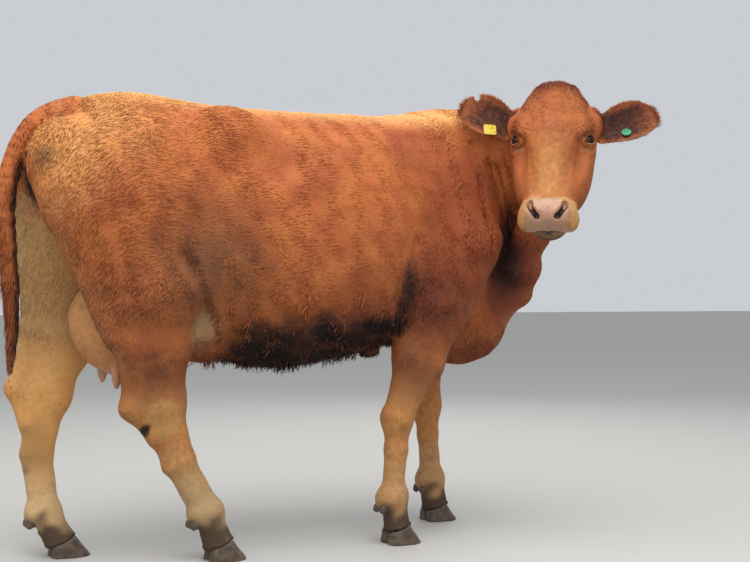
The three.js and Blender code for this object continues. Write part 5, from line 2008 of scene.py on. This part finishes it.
        rows = [spine(0.0)]
        for k in range(rings):
            t = steps[k + 1]
            width = locks.width * (1.0 - 0.45 * k / max(rings, 1))
            middle = spine(t)
            rows += [
                middle - side * (width / 2)[:, None],
                middle + side * (width / 2)[:, None],
                middle + roots.normals * (width * 0.27)[:, None],
            ]
        rows.append(spine(1.0))
        verts = np.stack(rows, axis=1)
        faces = [(0, 2, 1), (0, 3, 2), (0, 1, 3)]
        for k in range(rings - 1):
            a, b = 1 + 3 * k, 4 + 3 * k
            for i, j in ((0, 1), (1, 2), (2, 0)):
                faces += [(a + i, a + j, b + j), (a + i, b + j, b + i)]
        last, tip = 1 + 3 * (rings - 1), 1 + 3 * rings
        faces += [(tip, last, last + 1), (tip, last + 1, last + 2), (tip, last + 2, last)]
        patch = [(-1.0, 0.0)]
        for k in range(rings):
            u = 2 * steps[k + 1] - 1
            patch += [(u, 0.9), (u, -0.9), (u, 0.08)]
        patch.append((1.0, 0.0))
        return verts, np.array(faces), np.array(patch)

    @staticmethod
    def _unwrap(mesh: bpy.types.Mesh, roots: Roots, patch: Array, faces: Array) -> None:
        """Gives each lock a small patch of the map, at its root's place round and along the piece."""
        p = roots.points
        middle = p.mean(axis=0)
        _, _, rows = np.linalg.svd((p - middle)[:: max(len(p) // 4000, 1)], full_matrices=False)
        own = (p - middle) @ rows.T
        along = np.argsort(np.argsort(own[:, 0])) / max(len(p) - 1, 1)
        round_it = (np.arctan2(own[:, 2], own[:, 1]) + math.pi) / (2 * math.pi)
        place = np.stack([0.004 + 0.992 * along, 0.004 + 0.992 * round_it], axis=1)
        corners = place[:, None, :] + 0.0015 * patch[faces.reshape(-1)][None]
        layer = mesh.uv_layers.new(name="OFBake")
        layer.uv.foreach_set("vector", corners.astype(np.float32).ravel())

    def _mark(self, mesh: bpy.types.Mesh, roots: Roots, per: int, dark: Array | float) -> None:
        """Writes the markings at each lock's root to all of it, and the lock's brightness: a random spread
        plus painted light and shade.
        """
        tone, soil_and_shade = self.markings.read(roots.points, roots.normals, roots.share, roots.ear, roots.hollow)
        soil_and_shade[:, 0] = np.clip(soil_and_shade[:, 0] + dark, 0, 1)
        light = self.rng.normal(0.5, 0.085, len(roots))
        light = np.clip(light + self.markings.light(roots.points, roots.normals, roots.share), 0, 1)
        tone, soil_and_shade = np.repeat(tone, per, axis=0), np.repeat(soil_and_shade, per, axis=0)
        write_markings(mesh, tone, soil_and_shade, np.repeat(light, per))


def write_markings(mesh: bpy.types.Mesh, tone: Array, soil_and_shade: Array, light: Array) -> None:
    """Stores the markings on a mesh's vertices."""
    for name, values in (("tone", tone), ("soil_and_shade", soil_and_shade)):
        layer = mesh.attributes.new(name, "FLOAT_COLOR", "POINT")
        layer.data.foreach_set("color", values.astype(np.float32).ravel())
    layer = mesh.attributes.new("tuft", "FLOAT", "POINT")
    layer.data.foreach_set("value", np.asarray(light, np.float32))


# ---- Eyes, hooves and tags --------------------------------------------------------------------------
@dataclass
class Eyeball:
    """One eye: a ball with a slightly raised cornea."""

    socket: EyeSocket
    cornea: float = 1.0

    def build(self) -> bpy.types.Object:
        """Makes the ball, with its pole on the line of sight."""
        bm = bmesh.new()
        bmesh.ops.create_uvsphere(bm, u_segments=32, v_segments=24, radius=1)
        ball = np.array([v.co for v in bm.verts])
        raised = self.socket.radius - 0.3 + self.cornea * smoothstep(0.72, 0.92, ball[:, 2])
        for vert, co in zip(bm.verts, to_model(self.socket.axes.out(ball * raised[:, None]))):
            vert.co = co
        bmesh.ops.recalc_face_normals(bm, faces=bm.faces[:])
        name = "eye_left" if self.socket.side > 0 else "eye_right"
        piece = new_piece(name + "_ball", from_bmesh(name, bm), EyeFinish().make(self.socket))
        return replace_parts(piece, name)


@dataclass
class Foot:
    """The two claws and two dewclaws of one foot."""

    leg: str
    fineness: float = 3.2

    def build(self, horn: bpy.types.Material) -> bpy.types.Object:
        """Rounds copies of the solids' claws, and keeps their soles flat on the floor."""
        nodes = [n for n in frame["nodes"] if n.startswith(self.leg) and "claw" in n]
        bm = bmesh.new()
        for name in nodes:
            part = bmesh.new()
            part.from_mesh(frame["nodes"][name].data)
            bmesh.ops.remove_doubles(part, verts=part.verts[:], dist=1e-5)
            mesh = evaluated(from_bmesh(name, part), "REMESH", mode="VOXEL", voxel_size=self.fineness * MM)
            points = coordinates(mesh)
            floor = points[:, 2].min()
            sole = points[:, 2] < floor + 0.001 if "dewclaw" not in name else np.zeros(len(points), bool)
            edges = edge_pairs(mesh)
            for _ in range(5):
                points = relaxed(points, edges, 0.5)
                points[sole, 2] = 0.0
            rings = 0.0005 * np.sin(points[:, 2] / 0.0052 + points[:, 0] * 30)
            points += vertex_normals(mesh) * (rings * ~sole)[:, None]
            points[:, 2] = np.maximum(points[:, 2], 0.0)
            set_coordinates(mesh, points)
            bm.from_mesh(mesh)
            bpy.data.meshes.remove(mesh)
        piece = new_piece(self.leg + "_hoof", from_bmesh(self.leg + "_hoof", bm), horn)
        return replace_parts(piece, *nodes)


class TagForm(Enum):
    """The shapes of ear tag."""

    FLAG = "flag"
    BUTTON = "button"


@dataclass
class EarTag:
    """A tag of two moulded halves, one on each side of the ear, joined by a stud."""

    ear: Ear
    form: TagForm
    place: tuple[float, float]
    side: float
    finish: TagFinish
    lift: float = 11.0
    thickness: float = 2.5
    twist: float = 26.0

    @property
    def axes(self) -> Axes:
        """Lies in the leaf where the stud goes through."""
        across, along = self.place
        slope = math.atan((self.ear.cup(across + 1) - self.ear.cup(across - 1)) / 2)
        own = np.array(Matrix.Rotation(-slope, 3, "Y")).T
        origin = self.ear.axes.out(np.array([across, along, self.ear.cup(across) - 5]))
        return Axes(own @ self.ear.axes.rows, origin)

    def _plate(self, bm: bmesh.types.BMesh) -> None:
        """The front half: a rounded flag or a round button."""
        half = self.side / 2
        shift = math.copysign(half * 0.4, self.place[0])
        centre = Matrix.Translation((shift, 0, self.lift + self.thickness / 2))
        if self.form is TagForm.FLAG:
            spun = centre @ Matrix.Rotation(math.radians(self.twist), 4, "Z")
            sizes = Matrix.Diagonal((self.side, self.side * 0.94, self.thickness, 1))
            made = bmesh.ops.create_cube(bm, size=1, matrix=spun @ sizes)
            upright = [e for e in {e for v in made["verts"] for e in v.link_edges}
                       if abs(e.verts[0].co.z - e.verts[1].co.z) > 1]
            bmesh.ops.bevel(bm, geom=upright, offset=6, segments=5, affect="EDGES", profile=0.5, material=-1)
        else:
            bmesh.ops.create_cone(bm, cap_ends=True, segments=40, radius1=half * 1.0, radius2=half * 0.94,
                                  depth=self.thickness, matrix=centre)

    def build(self) -> bpy.types.Object:
        """Makes both halves and the stud."""
        bm = bmesh.new()
        self._plate(bm)
        for radius1, radius2, depth, z in (
            (6.5, 5.0, 2.4, self.lift + self.thickness + 0.7),
            (3.0, 3.0, 2 * self.lift + 3, 0.0),
            (13.5, 11.5, 2.8, -self.lift - 1.4),
        ):
            bmesh.ops.create_cone(bm, cap_ends=True, segments=32, radius1=radius1, radius2=radius2,
                                  depth=depth, matrix=Matrix.Translation((0, 0, z)))
        sharp = [e for e in bm.edges if len(e.link_faces) == 2 and e.calc_face_angle(0) > 0.9]
        bmesh.ops.bevel(bm, geom=sharp, offset=0.5, segments=2, affect="EDGES", profile=0.5, material=-1)
        bmesh.ops.recalc_face_normals(bm, faces=bm.faces[:])
        for vert, co in zip(bm.verts, to_model(self.axes.out(np.array([v.co for v in bm.verts])))):
            vert.co = co
        node = self.ear.name.replace("ear_", "ear_tag_")
        piece = new_piece(node + "_" + self.form.value, from_bmesh(node, bm), self.finish.make())
        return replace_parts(piece, node)


# ---- The studio -------------------------------------------------------------------------------------
@dataclass
class Studio:
    """Camera, soft lights and floor."""

    camera_at: Point = (-1.5690, -3.4419, 0.78)
    yaw: float = 27.0
    pitch: float = 0.9
    lens: float = 57.6

    def build(self) -> None:
        """Sets the scene round the model."""
        bpy.context.scene.view_settings.view_transform = "Standard"
        self._camera()
        self._floor()
        self._lights()

    def _camera(self) -> None:
        """A camera 0.78 m above the floor and 3.8 m off, tilted up a little."""
        data = bpy.data.cameras.new("camera")
        data.lens = self.lens
        data.sensor_width = 36
        data.clip_end = 200
        camera = bpy.data.objects.new("camera", data)
        camera.location = self.camera_at
        yaw, pitch = math.radians(self.yaw), math.radians(self.pitch)
        ahead = Vector((math.sin(yaw) * math.cos(pitch), math.cos(yaw) * math.cos(pitch), math.sin(pitch)))
        camera.rotation_mode = "QUATERNION"
        camera.rotation_quaternion = ahead.to_track_quat("-Z", "Y")
        bpy.context.scene.collection.objects.link(camera)
        bpy.context.scene.camera = camera

    @staticmethod
    def _floor() -> None:
        """A wide pale floor."""
        bm = bmesh.new()
        bmesh.ops.create_grid(bm, x_segments=8, y_segments=8, size=60)
        floor = bpy.data.objects.new("floor", from_bmesh("floor", bm, smooth=False))
        floor.data.materials.append(FloorFinish().make())
        bpy.context.scene.collection.objects.link(floor)
        floor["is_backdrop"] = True

    @staticmethod
    def _lights() -> None:
        """A broad soft light overhead, weaker ones in front and behind, and a pale surround."""
        for name, at, aim, size, power in (
            ("overhead", (-0.8, -1.6, 4.8), (0, 0, 1.1), 5.0, 250),
            ("front fill", (-3.4, -5.6, 2.6), (0, 0, 1.1), 4.0, 50),
            ("rim", (2.5, 3.6, 3.6), (0, 0, 1.0), 3.5, 60),
        ):
            data = bpy.data.lights.new(name, "AREA")
            data.shape = "DISK"
            data.size = size
            data.energy = power
            light = bpy.data.objects.new(name, data)
            light.location = at
            light.rotation_mode = "QUATERNION"
            light.rotation_quaternion = (Vector(aim) - Vector(at)).to_track_quat("-Z", "Y")
            bpy.context.scene.collection.objects.link(light)
        world = bpy.data.worlds.new("surround")
        world.use_nodes = True
        background = world.node_tree.nodes["Background"]
        background.inputs[0].default_value = colour("#E9EDF2")
        background.inputs[1].default_value = 0.72
        bpy.context.scene.world = world


# ---- The cow ----------------------------------------------------------------------------------------
@dataclass
class Cow:
    """The whole animal."""

    palette: HidePalette = field(default_factory=HidePalette)

    def build(self) -> None:
        """Builds the hide, the coat, and the parts that stay separate."""
        group = self.palette.group()
        skin = Skin(Anatomy())
        mesh = skin.build()
        markings = Markings()
        tone, soil_and_shade = markings.read(skin.points, skin.slope, skin.share, skin.ear, skin.ear_hollow)
        # The skin takes the same painted light and shade as the locks.
        light = np.clip(0.4 + markings.light(skin.points, skin.slope, skin.share), 0, 1)
        write_markings(mesh, tone, soil_and_shade, light)
        hide = new_piece("hide", mesh, HideFinish().make(group))
        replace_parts(hide, *FLESH_NODES)
        coat = Coat(skin, mesh, markings, HairFinish().make(group))
        coat.short_coat()
        coat.curls()
        coat.belly_clumps()
        coat.ear_fringe()
        coat.lashes()
        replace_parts(coat.switch(), "tail_switch")
        for socket in EYES:
            Eyeball(socket).build()
        horn = HornFinish().make()
        for leg in LEGS:
            Foot(leg.name).build(horn)
        yellow = TagFinish("yellow tag plastic", "#C4A818", "#7E6C2A")
        EarTag(EARS[0], TagForm.FLAG, (-38, 82), 44, yellow).build()
        green = TagFinish("green tag plastic", "#1F8A5A", "#2E5A44")
        EarTag(EARS[1], TagForm.BUTTON, (33, 103), 32, green).build()


def main() -> None:
    """Builds everything and notes its size."""
    logging.basicConfig(level=logging.INFO, format="%(message)s")
    Cow().build()
    Studio().build()
    bpy.context.view_layer.update()
    total = sum(len(p.vertices) - 2 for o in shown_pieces() for p in o.data.polygons)
    log.info("%d triangles in all", total)


if __name__ == "__main__":
    main()
